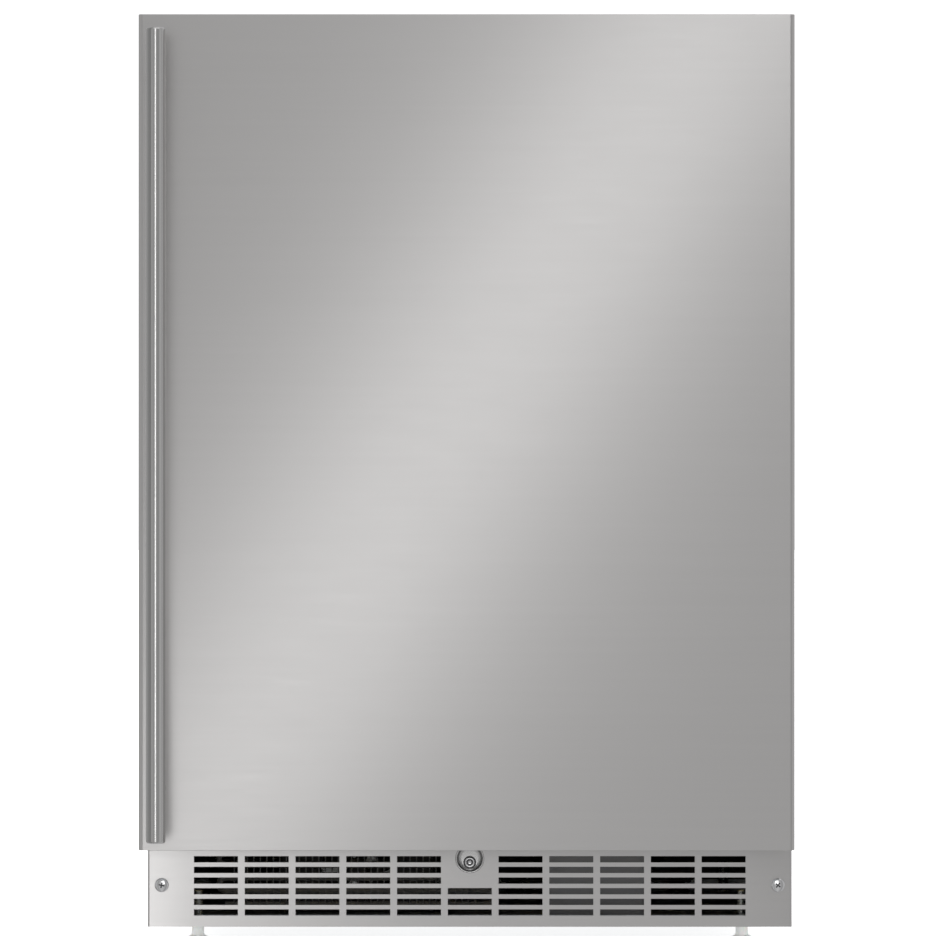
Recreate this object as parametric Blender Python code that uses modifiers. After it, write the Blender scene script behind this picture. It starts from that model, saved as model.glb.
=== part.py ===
"""Undercounter refrigerator: a right-hinged door over a toe grille, on four levelling feet.

Metres, +Z up, the front faces -Y. The origin is on the floor under the middle of the whole
object. Every physical piece is one object, and pieces that move together share a parent empty
that stands on their joint's axis.
"""

import math

import bmesh
import bpy
from mathutils import Matrix, Vector

OBJECT_NAME = "undercounter_refrigerator"

# ---- driving dimensions ----
GAP = 0.0003                 # clearance between neighbouring pieces
SHEET = 0.001                # sheet metal

HEIGHT = 0.876
DOOR_WIDTH = 0.605
DOOR_BOTTOM = 0.1053
DOOR_FRONT = -0.274
DOOR_BACK = -0.2275
DOOR_CORNER = 0.0045
DOOR_RECESS = 0.0043         # the end caps sit this far inside the skin's ends
END_CAP = 0.014

CABINET_X = 0.0029           # the cabinet's middle; the door overhangs it at the handle side
CABINET_WIDTH = 0.599
CABINET_FRONT = -0.220
CABINET_REAR = 0.326
CABINET_BOTTOM = 0.0312
CABINET_TOP = 0.8722
FRAME_BOTTOM = 0.1125        # lower edge of the face the gasket seals against

BOX_BOTTOM = 0.116           # underside of the insulated box
BAY_FRONT = 0.125            # the compressor bay reaches up behind here
BAY_TOP = 0.262

LINER = 0.0015
ROOM_HALF_WIDTH = 0.2575     # the cold compartment, inside the liner
ROOM_BOTTOM = 0.155
ROOM_TOP = 0.832
ROOM_REAR = 0.275
STEP_FRONT = 0.085
STEP_TOP = 0.300

HINGE_X = 0.2865
HINGE_Y = -0.250
PIN_RADIUS = 0.004
PIN_DEPTH = 0.011            # how far a pin reaches into its end cap
HINGE_PLATE = 0.003
HINGE_ARM_HALF_WIDTH = 0.010
HINGE_ARM_FRONT = -0.262

HANDLE_X = -0.2846
HANDLE_Y = -0.317
HANDLE_RADIUS = 0.009
HANDLE_BOTTOM = 0.1143
HANDLE_TOP = 0.861
POST_RADIUS = 0.006
POST_HEIGHTS = {"handle_post_top": 0.812, "handle_post_bottom": 0.163}

GRILLE_TOP = 0.1045
GRILLE_RETURN = 0.015
SLOT_WIDTH = 0.0409
SLOT_HEIGHT = 0.0059
SLOT_PITCH_X = 0.0472
SLOT_PITCH_Z = 0.0099
SLOT_COLUMNS = 11
SLOT_ROWS = 6
SLOT_TOP_ROW = 0.0940
ROWS_BEHIND_LOCK = 3         # the middle column leaves its upper rows out for the lock
SCREW_INSET = 0.013
SCREW_Z = 0.070
SCREW_HEAD_RADIUS = 0.0065

DISH_Z = 0.0946
DISH_RADIUS = 0.0132
DISH_DEPTH = 0.007
LOCK_Z = 0.0908
LOCK_RADIUS = 0.0047
CAM_REACH = 0.0207
CAM_FRONT = -0.1995
CAM_BACK = -0.1970

FOOT_X = (-0.252, 0.258)
FOOT_Y = (-0.165, 0.280)
FOOT_PAD_RADIUS = 0.019
FOOT_STUD_RADIUS = 0.005
FOOT_STUD_TOP = 0.062

SHELF_FRONT = -0.103
SHELF_REAR = 0.215
SHELF_GLASS = 0.004
SHELF_HEIGHTS = {"shelf_lower": 0.470, "shelf_upper": 0.640}
COVER_Z = 0.303
LEDGE = 0.008

PLATEAU_HALF_WIDTH = 0.248   # raised middle of the door's inner panel
PLATEAU_BOTTOM = 0.165
PLATEAU_TOP = 0.822
PLATEAU_BACK = -0.205

BIN_HALF_WIDTH = 0.2275
BIN_BACK = -0.112
BIN_WALL = 0.0025
BIN_HEIGHT = 0.090
BIN_BOTTOMS = {"door_bin_lower": 0.335, "door_bin_middle": 0.505, "door_bin_upper": 0.660}

CRISPER_HALF_WIDTH = 0.238
CRISPER_FRONT = -0.120
CRISPER_REAR = 0.079
CRISPER_BOTTOM = 0.1575
CRISPER_TOP = 0.288
CRISPER_WALL = 0.0025

CONTROL_BOTTOM = 0.803
CONTROL_FRONT = -0.195
CONTROL_REAR = -0.100
CONTROL_HALF_WIDTH = 0.088
KNOB_X = -0.052
BUTTON_X = 0.064
CONTROL_Y = -0.148

DUCT_HALF_WIDTH = 0.190      # cover over the evaporator, on the cold room's rear wall
DUCT_FRONT = 0.222
DUCT_BOTTOM = 0.420
DUCT_TOP = 0.800
COLD_FAN_Z = 0.700
COLD_FAN_RADIUS = 0.040

BAY_FAN_X = -0.105
BAY_FAN_Z = 0.0745
BAY_FAN_RADIUS = 0.0325
COMPRESSOR_X = 0.130
COMPRESSOR_Y = 0.225

# ---- finishes: base colour, roughness, metallic ----
FINISHES = {
    "brushed_steel": ((0.56, 0.55, 0.54), 0.32, 1.0),
    "polished_steel": ((0.70, 0.70, 0.69), 0.14, 1.0),
    "chrome": ((0.78, 0.78, 0.78), 0.08, 1.0),
    "zinc": ((0.60, 0.60, 0.58), 0.35, 1.0),
    "copper": ((0.72, 0.35, 0.20), 0.30, 1.0),
    "aluminium": ((0.75, 0.75, 0.75), 0.35, 1.0),
    "black_paint": ((0.020, 0.020, 0.021), 0.45, 0.0),
    "grey_paint": ((0.24, 0.24, 0.25), 0.50, 0.0),
    "white_plastic": ((0.80, 0.80, 0.79), 0.40, 0.0),
    "grey_plastic": ((0.20, 0.20, 0.21), 0.50, 0.0),
    "black_plastic": ((0.015, 0.015, 0.016), 0.50, 0.0),
    "clear_plastic": ((0.82, 0.86, 0.88), 0.12, 0.0),
    "rubber": ((0.12, 0.12, 0.12), 0.80, 0.0),
    "foam": ((0.78, 0.70, 0.46), 0.90, 0.0),
    "glass": ((0.72, 0.82, 0.80), 0.05, 0.0),
}

CABINET_LEFT = CABINET_X - CABINET_WIDTH / 2
CABINET_RIGHT = CABINET_X + CABINET_WIDTH / 2
PANEL_FRONT = CABINET_FRONT + SHEET + GAP      # panels behind the cabinet's face start here
PANEL_REAR = CABINET_REAR - SHEET - GAP
PANEL_TOP = CABINET_TOP - SHEET - GAP
INNER_LEFT = CABINET_LEFT + SHEET + GAP
INNER_RIGHT = CABINET_RIGHT - SHEET - GAP
CAP_BOTTOM = DOOR_BOTTOM + DOOR_RECESS
CAP_TOP = HEIGHT - DOOR_RECESS
LINER_FLANGE_FRONT = DOOR_BACK + GAP
LINER_FLANGE_BACK = LINER_FLANGE_FRONT + 0.0012
GRILLE_BACK = CABINET_FRONT + GRILLE_RETURN

parts = None
cutters = None


# ---- scene and small tools ----
def reset_scene():
    """Empty the file and make the two collections."""
    global parts, cutters
    for thing in list(bpy.data.objects):
        bpy.data.objects.remove(thing, do_unlink=True)
    parts = bpy.data.collections.new(OBJECT_NAME)
    cutters = bpy.data.collections.new("cutters")
    bpy.context.scene.collection.children.link(parts)
    bpy.context.scene.collection.children.link(cutters)


def make_material(name, finish):
    colour, roughness, metallic = FINISHES[finish]
    material = bpy.data.materials.new(f"{name}_{finish}")
    material.use_nodes = True
    shader = material.node_tree.nodes["Principled BSDF"]
    shader.inputs["Base Color"].default_value = (*colour, 1.0)
    shader.inputs["Roughness"].default_value = roughness
    shader.inputs["Metallic"].default_value = metallic
    return material


def place(name, data, finish=None):
    """Link new object data: with a finish it is a piece, without one a cutter or a guide."""
    thing = bpy.data.objects.new(name, data)
    if finish is None:
        cutters.objects.link(thing)
        thing.hide_render = True
        thing.display_type = "WIRE"
    else:
        parts.objects.link(thing)
        data.materials.append(make_material(name, finish))
    return thing


def box_mesh(name, boxes):
    """One mesh of separate boxes, each given by its low and high corner."""
    mesh = bpy.data.meshes.new(name)
    shape = bmesh.new()
    for low, high in boxes:
        middle = (Vector(low) + Vector(high)) / 2
        size = Vector(high) - Vector(low)
        matrix = Matrix.Translation(middle) @ Matrix.Diagonal((*size, 1.0))
        bmesh.ops.create_cube(shape, size=1.0, matrix=matrix)
    shape.to_mesh(mesh)
    shape.free()
    return mesh


def box(name, low, high, finish=None, bevel=0.0, segments=2):
    thing = place(name, box_mesh(name, [(low, high)]), finish)
    if bevel:
        soften(thing, bevel, segments)
    return thing


def boxes_cutter(name, boxes):
    return place(name, box_mesh(name, boxes))


def soften(thing, width, segments=2):
    bevel = thing.modifiers.new("edges", "BEVEL")
    bevel.width = width
    bevel.segments = segments
    bevel.limit_method = "ANGLE"
    bevel.angle_limit = math.radians(40)


def shade_round(mesh):
    mesh.shade_smooth()
    mesh.set_sharp_from_angle(angle=math.radians(35))


TURNS = {                                      # local +Z goes to this axis
    "+Z": (0.0, 0.0, 0.0),
    "-Y": (math.pi / 2, 0.0, 0.0),
    "+X": (0.0, math.pi / 2, 0.0),
}


def cylinder(name, centre, radius, length, axis="+Z", sides=24, finish=None):
    """A cylinder whose middle is at centre."""
    mesh = bpy.data.meshes.new(name)
    shape = bmesh.new()
    bmesh.ops.create_cone(
        shape, cap_ends=True, segments=sides, radius1=radius, radius2=radius, depth=length
    )
    shape.to_mesh(mesh)
    shape.free()
    shade_round(mesh)
    thing = place(name, mesh, finish)
    thing.location = centre
    thing.rotation_euler = TURNS[axis]
    return thing


def turned(name, place_at, profile, axis="+Z", steps=24, finish=None, closed=False):
    """Turn a profile of (radius, height) about the axis. It runs down the outer side."""
    mesh = bpy.data.meshes.new(name)
    shape = bmesh.new()
    points = [shape.verts.new((radius, 0.0, height)) for radius, height in profile]
    for first, second in zip(points, points[1:]):
        shape.edges.new((first, second))
    if closed:
        shape.edges.new((points[-1], points[0]))
    shape.to_mesh(mesh)
    shape.free()
    thing = place(name, mesh, finish)
    thing.location = place_at
    thing.rotation_euler = TURNS[axis]
    screw = thing.modifiers.new("turn", "SCREW")
    screw.axis = "Z"
    screw.angle = math.tau
    screw.steps = steps
    screw.render_steps = steps
    screw.use_merge_vertices = True
    screw.merge_threshold = 0.00001
    screw.use_smooth_shade = True
    return thing


def arc(centre, radius, start, end, steps):
    """Points on a circle, from one angle in degrees to another."""
    turns = [math.radians(start + (end - start) * i / steps) for i in range(steps + 1)]
    return [(centre[0] + radius * math.cos(t), centre[1] + radius * math.sin(t)) for t in turns]


FLAT_AXES = {                                  # where the outline's two axes and depth point
    "X": Matrix(((0, 0, 1), (1, 0, 0), (0, 1, 0))),
    "Y": Matrix(((1, 0, 0), (0, 0, -1), (0, 1, 0))),
    "Z": Matrix(((1, 0, 0), (0, 1, 0), (0, 0, 1))),
}


def prism(name, outline, low, high, axis="Z", finish=None):
    """A flat outline made thick from low to high along an axis.

    The outline is in (y, z) for X, in (x, z) for Y and in (x, y) for Z.
    """
    curve = bpy.data.curves.new(name, "CURVE")
    curve.dimensions = "2D"
    curve.fill_mode = "BOTH"
    curve.extrude = (high - low) / 2
    spline = curve.splines.new("POLY")
    spline.points.add(len(outline) - 1)
    for point, (u, v) in zip(spline.points, outline):
        point.co = (u, v, 0.0, 1.0)
    spline.use_cyclic_u = True
    guide = bpy.data.objects.new(name + "_outline", curve)
    cutters.objects.link(guide)
    middle = (low + high) / 2
    offset = {"X": (middle, 0, 0), "Y": (0, middle, 0), "Z": (0, 0, middle)}[axis]
    guide.matrix_world = Matrix.Translation(offset) @ FLAT_AXES[axis].to_4x4()
    mesh = mesh_of(guide)
    thing = place(name, mesh, finish)
    thing.matrix_world = guide.matrix_world.copy()
    bpy.data.objects.remove(guide, do_unlink=True)
    return thing


def mesh_of(thing):
    """A welded mesh of a curve object."""
    bpy.context.view_layer.update()
    graph = bpy.context.evaluated_depsgraph_get()
    mesh = bpy.data.meshes.new_from_object(thing.evaluated_get(graph))
    shape = bmesh.new()
    shape.from_mesh(mesh)
    bmesh.ops.remove_doubles(shape, verts=shape.verts, dist=0.000005)
    bmesh.ops.recalc_face_normals(shape, faces=shape.faces)
    shape.to_mesh(mesh)
    shape.free()
    mesh.materials.clear()
    shade_round(mesh)
    return mesh


def tube(name, route, radius, finish):
    """A round tube along a list of points."""
    curve = bpy.data.curves.new(name, "CURVE")
    curve.dimensions = "3D"
    curve.bevel_depth = radius
    curve.bevel_resolution = 2
    curve.use_fill_caps = True
    spline = curve.splines.new("POLY")
    spline.points.add(len(route) - 1)
    for point, place_at in zip(spline.points, route):
        point.co = (*place_at, 1.0)
    return place(name, curve, finish)


def combine(target, tool, operation):
    boolean = target.modifiers.new(f"{operation.lower()}_{tool.name}", "BOOLEAN")
    boolean.operation = operation
    boolean.solver = "EXACT"
    boolean.object = tool


def cut(target, *tools):
    for tool in tools:
        combine(target, tool, "DIFFERENCE")


def join(target, *tools):
    for tool in tools:
        combine(target, tool, "UNION")


def rounded_outline(low, high, radius, steps=4, rear_radius=None):
    """A rectangle in two axes, with its corners on arcs. The first pair is the low-v side."""
    rear = radius if rear_radius is None else rear_radius
    (u0, v0), (u1, v1) = low, high
    outline = arc((u0 + radius, v0 + radius), radius, 180, 270, steps)
    outline += arc((u1 - radius, v0 + radius), radius, 270, 360, steps)
    outline += arc((u1 - rear, v1 - rear), rear, 0, 90, steps) if rear else [(u1, v1)]
    outline += arc((u0 + rear, v1 - rear), rear, 90, 180, steps) if rear else [(u0, v1)]
    return outline


def channel_outline(left, right, front, back, sheet, radius, steps=5):
    """A U of bent sheet seen from above, open to the back."""
    corner_left = (left + radius, front + radius)
    corner_right = (right - radius, front + radius)
    outer = [(left, back)] + arc(corner_left, radius, 180, 270, steps)
    outer += arc(corner_right, radius, 270, 360, steps) + [(right, back)]
    inner = [(right - sheet, back)] + arc(corner_right, radius - sheet, 360, 270, steps)
    inner += arc(corner_left, radius - sheet, 270, 180, steps) + [(left + sheet, back)]
    return outer + inner


def open_tray(name, low, high, wall, bevel, finish):
    """A box without a lid, rounded on its other edges."""
    spare = 2 * bevel
    tray = box(name, low, (high[0], high[1], high[2] + spare), finish, bevel)
    inside_low = (low[0] + wall, low[1] + wall, low[2] + wall)
    inside_high = (high[0] - wall, high[1] - wall, high[2] + 2 * spare)
    cut(tray, box(f"cut_{name}_inside", inside_low, inside_high, bevel=bevel - wall),
        box(f"cut_{name}_top", (low[0] - spare, low[1] - spare, high[2]),
            (high[0] + spare, high[1] + spare, high[2] + 3 * spare)))
    return tray


def group(name, joint_at, things):
    """Give the pieces of a moving body a parent empty on its joint."""
    empty = bpy.data.objects.new(name, None)
    parts.objects.link(empty)
    empty.location = joint_at
    bpy.context.view_layer.update()
    for thing in things:
        thing.parent = empty
        thing.matrix_parent_inverse = empty.matrix_world.inverted()


# ---- cabinet shell ----
def room_outline(grow, front):
    """The cold room's stepped side view, grown outwards by a thickness."""
    bottom, top = ROOM_BOTTOM - grow, ROOM_TOP + grow
    step_y, step_z = STEP_FRONT + grow, STEP_TOP - grow
    rear = ROOM_REAR + grow
    return [(front, bottom), (step_y, bottom), (step_y, step_z),
            (rear, step_z), (rear, top), (front, top)]


def room_prism(name, grow, front, finish=None):
    half = ROOM_HALF_WIDTH + grow
    return prism(name, room_outline(grow, front), CABINET_X - half, CABINET_X + half, "X", finish)


def build_panels():
    side = [(GRILLE_BACK + GAP, CABINET_BOTTOM), (PANEL_REAR, CABINET_BOTTOM),
            (PANEL_REAR, PANEL_TOP), (PANEL_FRONT, PANEL_TOP),
            (PANEL_FRONT, FRAME_BOTTOM), (GRILLE_BACK + GAP, FRAME_BOTTOM)]
    prism("side_panel_left", side, CABINET_LEFT, CABINET_LEFT + SHEET, "X", "black_paint")
    prism("side_panel_right", side, CABINET_RIGHT - SHEET, CABINET_RIGHT, "X", "black_paint")
    box("top_panel", (CABINET_LEFT, PANEL_FRONT, CABINET_TOP - SHEET),
        (CABINET_RIGHT, CABINET_REAR, CABINET_TOP), "black_paint")
    box("back_panel", (CABINET_LEFT, CABINET_REAR - SHEET, BAY_TOP + GAP),
        (CABINET_RIGHT, CABINET_REAR, PANEL_TOP), "zinc")
    frame = box("front_frame", (CABINET_LEFT, CABINET_FRONT, FRAME_BOTTOM),
                (CABINET_RIGHT, CABINET_FRONT + SHEET, CABINET_TOP), "grey_paint")
    cut(frame, box("cut_front_frame",
                   (CABINET_X - ROOM_HALF_WIDTH, CABINET_FRONT - 0.01, ROOM_BOTTOM),
                   (CABINET_X + ROOM_HALF_WIDTH, CABINET_FRONT + 0.01, ROOM_TOP)))


def build_insulation():
    side = [(PANEL_FRONT, BOX_BOTTOM), (BAY_FRONT, BOX_BOTTOM), (BAY_FRONT, BAY_TOP),
            (PANEL_REAR, BAY_TOP), (PANEL_REAR, PANEL_TOP), (PANEL_FRONT, PANEL_TOP)]
    foam = prism("foam_insulation", side, INNER_LEFT, INNER_RIGHT, "X", "foam")
    cut(foam, room_prism("cut_foam_room", LINER + GAP, CABINET_FRONT - 0.02))


def build_liner():
    liner = room_prism("inner_liner", LINER, PANEL_FRONT, "white_plastic")
    cut(liner, room_prism("cut_liner_room", 0.0, CABINET_FRONT - 0.02))
    ledges = []
    ledge_front = SHELF_FRONT + 0.015
    heights = [(z, SHELF_REAR) for z in SHELF_HEIGHTS.values()] + [(COVER_Z, STEP_FRONT - 0.005)]
    for height, rear in heights:
        low_z, high_z = height - GAP - LEDGE, height - GAP
        for side in (-1, 1):
            wall = CABINET_X + side * (ROOM_HALF_WIDTH + LINER / 2)
            inside = CABINET_X + side * (ROOM_HALF_WIDTH - LEDGE)
            left, right = sorted((wall, inside))
            ledges.append(((left, ledge_front, low_z), (right, rear, high_z)))
    join(liner, boxes_cutter("add_shelf_ledges", ledges))


def build_base():
    sheet = 0.0012
    front, rear = GRILLE_BACK + GAP, PANEL_REAR
    low, lip = CABINET_BOTTOM, CABINET_BOTTOM + 0.010
    side = [(front, lip), (front, low), (rear, low), (rear, lip),
            (rear - sheet, lip), (rear - sheet, low + sheet),
            (front + sheet, low + sheet), (front + sheet, lip)]
    base = prism("base_pan", side, INNER_LEFT, INNER_RIGHT, "X", "zinc")
    for x in FOOT_X:
        for y in FOOT_Y:
            cut(base, cylinder(f"cut_base_{'left' if x < 0 else 'right'}_{'front' if y < 0 else 'rear'}",
                               (x, y, low), FOOT_STUD_RADIUS + 0.0006, 0.01, sides=16))


def build_rear_cover():
    """Louvred cover over the compressor bay, with the opening for the power inlet."""
    cover = box("rear_bay_cover", (CABINET_LEFT, CABINET_REAR - SHEET, CABINET_BOTTOM + 0.002),
                (CABINET_RIGHT, CABINET_REAR, BAY_TOP - GAP), "black_paint")
    slots = []
    for column in (-0.165, 0.0, 0.165):
        for row in range(8):
            middle, height = CABINET_X + column, 0.115 + 0.016 * row
            slots.append(((middle - 0.060, CABINET_REAR - 0.01, height - 0.003),
                          (middle + 0.060, CABINET_REAR + 0.01, height + 0.003)))
    cut(cover, boxes_cutter("cut_rear_louvres", slots))
    inlet_x, inlet_z = -0.215, 0.072
    cut(cover, box("cut_inlet_opening", (inlet_x - 0.0153, CABINET_REAR - 0.01, inlet_z - 0.0123),
                   (inlet_x + 0.0153, CABINET_REAR + 0.01, inlet_z + 0.0123)))
    inlet = box("power_inlet", (inlet_x - 0.015, CABINET_REAR - 0.024, inlet_z - 0.012),
                (inlet_x + 0.015, CABINET_REAR, inlet_z + 0.012), "black_plastic")
    cut(inlet, box("cut_inlet_socket", (inlet_x - 0.012, CABINET_REAR - 0.018, inlet_z - 0.009),
                   (inlet_x + 0.012, CABINET_REAR + 0.01, inlet_z + 0.009)))
    blades = [((inlet_x + dx - 0.001, CABINET_REAR - 0.020, inlet_z + dz - 0.002),
               (inlet_x + dx + 0.001, CABINET_REAR - 0.004, inlet_z + dz + 0.002))
              for dx, dz in ((-0.007, -0.002), (0.0, 0.003), (0.007, -0.002))]
    join(inlet, boxes_cutter("add_inlet_blades", blades))


# ---- toe grille and lock ----
def slot_boxes():
    """Every punched slot of the toe grille."""
    slots = []
    middle_column = SLOT_COLUMNS // 2
    for column in range(SLOT_COLUMNS):
        x = CABINET_X + (column - middle_column) * SLOT_PITCH_X
        first_row = ROWS_BEHIND_LOCK if column == middle_column else 0
        for row in range(first_row, SLOT_ROWS):
            z = SLOT_TOP_ROW - row * SLOT_PITCH_Z
            slots.append(((x - SLOT_WIDTH / 2, CABINET_FRONT - 0.005, z - SLOT_HEIGHT / 2),
                          (x + SLOT_WIDTH / 2, CABINET_FRONT + 0.005, z + SLOT_HEIGHT / 2)))
    return slots


def build_grille():
    outline = channel_outline(CABINET_LEFT, CABINET_RIGHT, CABINET_FRONT, GRILLE_BACK,
                              SHEET, 0.0022, steps=4)
    grille = prism("toe_grille", outline, CABINET_BOTTOM, GRILLE_TOP, "Z", "brushed_steel")
    cut(grille, boxes_cutter("cut_grille_slots", slot_boxes()))
    cut(grille, cylinder("cut_lock_hole", (CABINET_X, CABINET_FRONT, DISH_Z),
                         DISH_RADIUS + GAP, 0.006, "-Y", 32))
    for side, x in (("left", CABINET_LEFT + SCREW_INSET), ("right", CABINET_RIGHT - SCREW_INSET)):
        cut(grille, cylinder(f"cut_screw_hole_{side}", (x, CABINET_FRONT, SCREW_Z),
                             0.0025, 0.006, "-Y", 12))
        build_grille_screw(f"grille_screw_{side}", x)


def build_grille_screw(name, x):
    """A cross-recessed pan-head screw, its head on the grille's face."""
    face = -CABINET_FRONT + GAP
    crown = 0.0026
    head = [(0.0, face + crown)]
    head += [(SCREW_HEAD_RADIUS * math.sin(math.radians(t)),
              face + 0.0008 + (crown - 0.0008) * math.cos(math.radians(t)))
             for t in (25, 50, 72, 90)]
    shank = [(SCREW_HEAD_RADIUS, face), (0.0021, face), (0.0021, face - 0.012),
             (0.0, face - 0.014)]
    screw = turned(name, (x, 0.0, SCREW_Z), head + shank, "-Y", 20, "chrome")
    cross = 0.0036
    half = 0.0007
    top = CABINET_FRONT - GAP - crown - 0.001
    bottom = top + 0.001 + 0.0016
    cut(screw, box(f"cut_{name}_level", (x - cross, top, SCREW_Z - half),
                   (x + cross, bottom, SCREW_Z + half)),
        box(f"cut_{name}_upright", (x - half, top, SCREW_Z - cross),
            (x + half, bottom, SCREW_Z + cross)))


def build_lock():
    """The lock's dish in the grille, its turning barrel and the cam that holds the door."""
    face = -CABINET_FRONT
    floor = face - DISH_DEPTH
    barrel_hole = LOCK_RADIUS + 0.0003
    housing = turned("lock_housing", (CABINET_X, 0.0, DISH_Z), [
        (DISH_RADIUS - 0.0008, face), (DISH_RADIUS, face - 0.0008),
        (DISH_RADIUS, floor - 0.0015), (0.0, floor - 0.0015),
        (0.0, floor), (DISH_RADIUS - 0.0055, floor), (DISH_RADIUS - 0.0028, floor + 0.0010),
        (DISH_RADIUS - 0.0012, floor + 0.0030), (DISH_RADIUS - 0.0009, face - 0.0008),
    ], "-Y", 32, "brushed_steel", closed=True)
    cut(housing, box("cut_dish_top", (CABINET_X - 0.02, CABINET_FRONT - 0.01, GRILLE_TOP - GAP),
                     (CABINET_X + 0.02, CABINET_FRONT + 0.02, GRILLE_TOP + 0.01)))
    cut(housing, cylinder("cut_lock_barrel", (CABINET_X, CABINET_FRONT + DISH_DEPTH, LOCK_Z),
                          barrel_hole, 0.02, "-Y", 24))
    front = face - 0.0018
    barrel = turned("lock_cylinder", (CABINET_X, 0.0, LOCK_Z), [
        (0.0, front - 0.0002), (0.0014, front - 0.0002), (0.0017, front - 0.0005),
        (0.0017, front - 0.0030), (0.0029, front - 0.0030), (0.0029, front - 0.0004),
        (0.0032, front), (LOCK_RADIUS - 0.0005, front), (LOCK_RADIUS, front - 0.0005),
        (LOCK_RADIUS, -CAM_FRONT + GAP), (0.0, -CAM_FRONT + GAP),
    ], "-Y", 24, "chrome")
    cut(barrel, box("cut_key_notch", (CABINET_X - 0.0005, CABINET_FRONT, LOCK_Z + 0.0024),
                    (CABINET_X + 0.0005, CABINET_FRONT + 0.0045, LOCK_Z + 0.0038)))
    width = 0.004
    tip = (CABINET_X - CAM_REACH + width, LOCK_Z)
    outline = arc((CABINET_X, LOCK_Z), LOCK_RADIUS, -60, 60, 6)
    outline += arc((CABINET_X, LOCK_Z), LOCK_RADIUS, 60, 122, 4)[1:]
    outline += arc(tip, width, 90, 270, 8)
    outline += arc((CABINET_X, LOCK_Z), LOCK_RADIUS, 238, 300, 4)[:-1]
    cam = prism("lock_cam", outline, CAM_FRONT, CAM_BACK, "Y", "zinc")
    group("lock", (CABINET_X, CAM_FRONT, LOCK_Z), [barrel, cam])


# ---- hinges ----
def build_hinges():
    """Two pivot brackets on the cabinet, with pins that stand in the door's end caps."""
    arm_left, arm_right = HINGE_X - HINGE_ARM_HALF_WIDTH, HINGE_X + HINGE_ARM_HALF_WIDTH
    top_low = CABINET_TOP + GAP
    plan = arc((HINGE_X, HINGE_ARM_FRONT + HINGE_ARM_HALF_WIDTH), HINGE_ARM_HALF_WIDTH, 180, 360, 12)
    plan += [(arm_right, -0.140), (arm_right - 0.070, -0.140), (arm_right - 0.070, -0.205),
             (arm_left, -0.215)]
    top = prism("hinge_bracket_top", plan, top_low, top_low + HINGE_PLATE, "Z", "zinc")
    top_pin = (top_low + HINGE_PLATE, CAP_TOP - PIN_DEPTH)
    side = [(HINGE_ARM_FRONT, DOOR_BOTTOM), (-0.180, DOOR_BOTTOM), (-0.180, BOX_BOTTOM - GAP),
            (PANEL_FRONT + 0.001, BOX_BOTTOM - GAP), (PANEL_FRONT + 0.001, DOOR_BOTTOM + HINGE_PLATE),
            (HINGE_ARM_FRONT, DOOR_BOTTOM + HINGE_PLATE)]
    bottom = prism("hinge_bracket_bottom", side, arm_left, arm_right, "X", "zinc")
    bottom_pin = (CAP_BOTTOM + PIN_DEPTH, DOOR_BOTTOM)
    for bracket, (high, low) in ((top, top_pin), (bottom, bottom_pin)):
        end = bracket.name.rsplit("_", 1)[1]
        middle = (HINGE_X, HINGE_Y, (high + low) / 2)
        cut(bracket, cylinder(f"cut_pin_hole_{end}", middle, PIN_RADIUS + GAP, 0.04, sides=20))
        cylinder(f"hinge_pin_{end}", middle, PIN_RADIUS, high - low, sides=20, finish="polished_steel")


# ---- door ----
def build_door():
    half = DOOR_WIDTH / 2
    skin = prism("door_skin", channel_outline(-half, half, DOOR_FRONT, DOOR_BACK, SHEET,
                                              DOOR_CORNER, steps=6),
                 DOOR_BOTTOM, HEIGHT, "Z", "brushed_steel")
    notch_front = DOOR_FRONT + DOOR_CORNER + 0.0005
    ends = ((DOOR_BOTTOM - 0.01, CAP_BOTTOM), (CAP_TOP, HEIGHT + 0.01))
    cut(skin, boxes_cutter("cut_skin_at_hinges", [
        ((half - 0.008, notch_front, low), (half + 0.01, DOOR_BACK + 0.01, high))
        for low, high in ends]))
    pieces = [skin] + build_end_caps(half) + build_door_core(half)
    pieces += build_handle() + [build_catch_plate(), build_gasket()]
    group("door", (HINGE_X, HINGE_Y, DOOR_BOTTOM), pieces)


def door_section(half, inset):
    """The plan of what fills the door skin, rounded inside its bends."""
    front = DOOR_FRONT + SHEET + inset
    low = (-half + SHEET + inset, front)
    high = (half - SHEET - inset, DOOR_BACK - inset)
    return rounded_outline(low, high, DOOR_CORNER - SHEET, 4, rear_radius=0)


def build_end_caps(half):
    section = door_section(half, GAP)
    top = prism("door_end_cap_top", section, CAP_TOP - END_CAP, CAP_TOP, "Z", "grey_plastic")
    bottom = prism("door_end_cap_bottom", section, CAP_BOTTOM, CAP_BOTTOM + END_CAP, "Z",
                   "grey_plastic")
    for cap, face in ((top, CAP_TOP), (bottom, CAP_BOTTOM)):
        cut(cap, cylinder(f"cut_pivot_{cap.name}", (HINGE_X, HINGE_Y, face),
                          PIN_RADIUS + GAP, 2 * (PIN_DEPTH + 0.001), sides=20))
    return [top, bottom]


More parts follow.
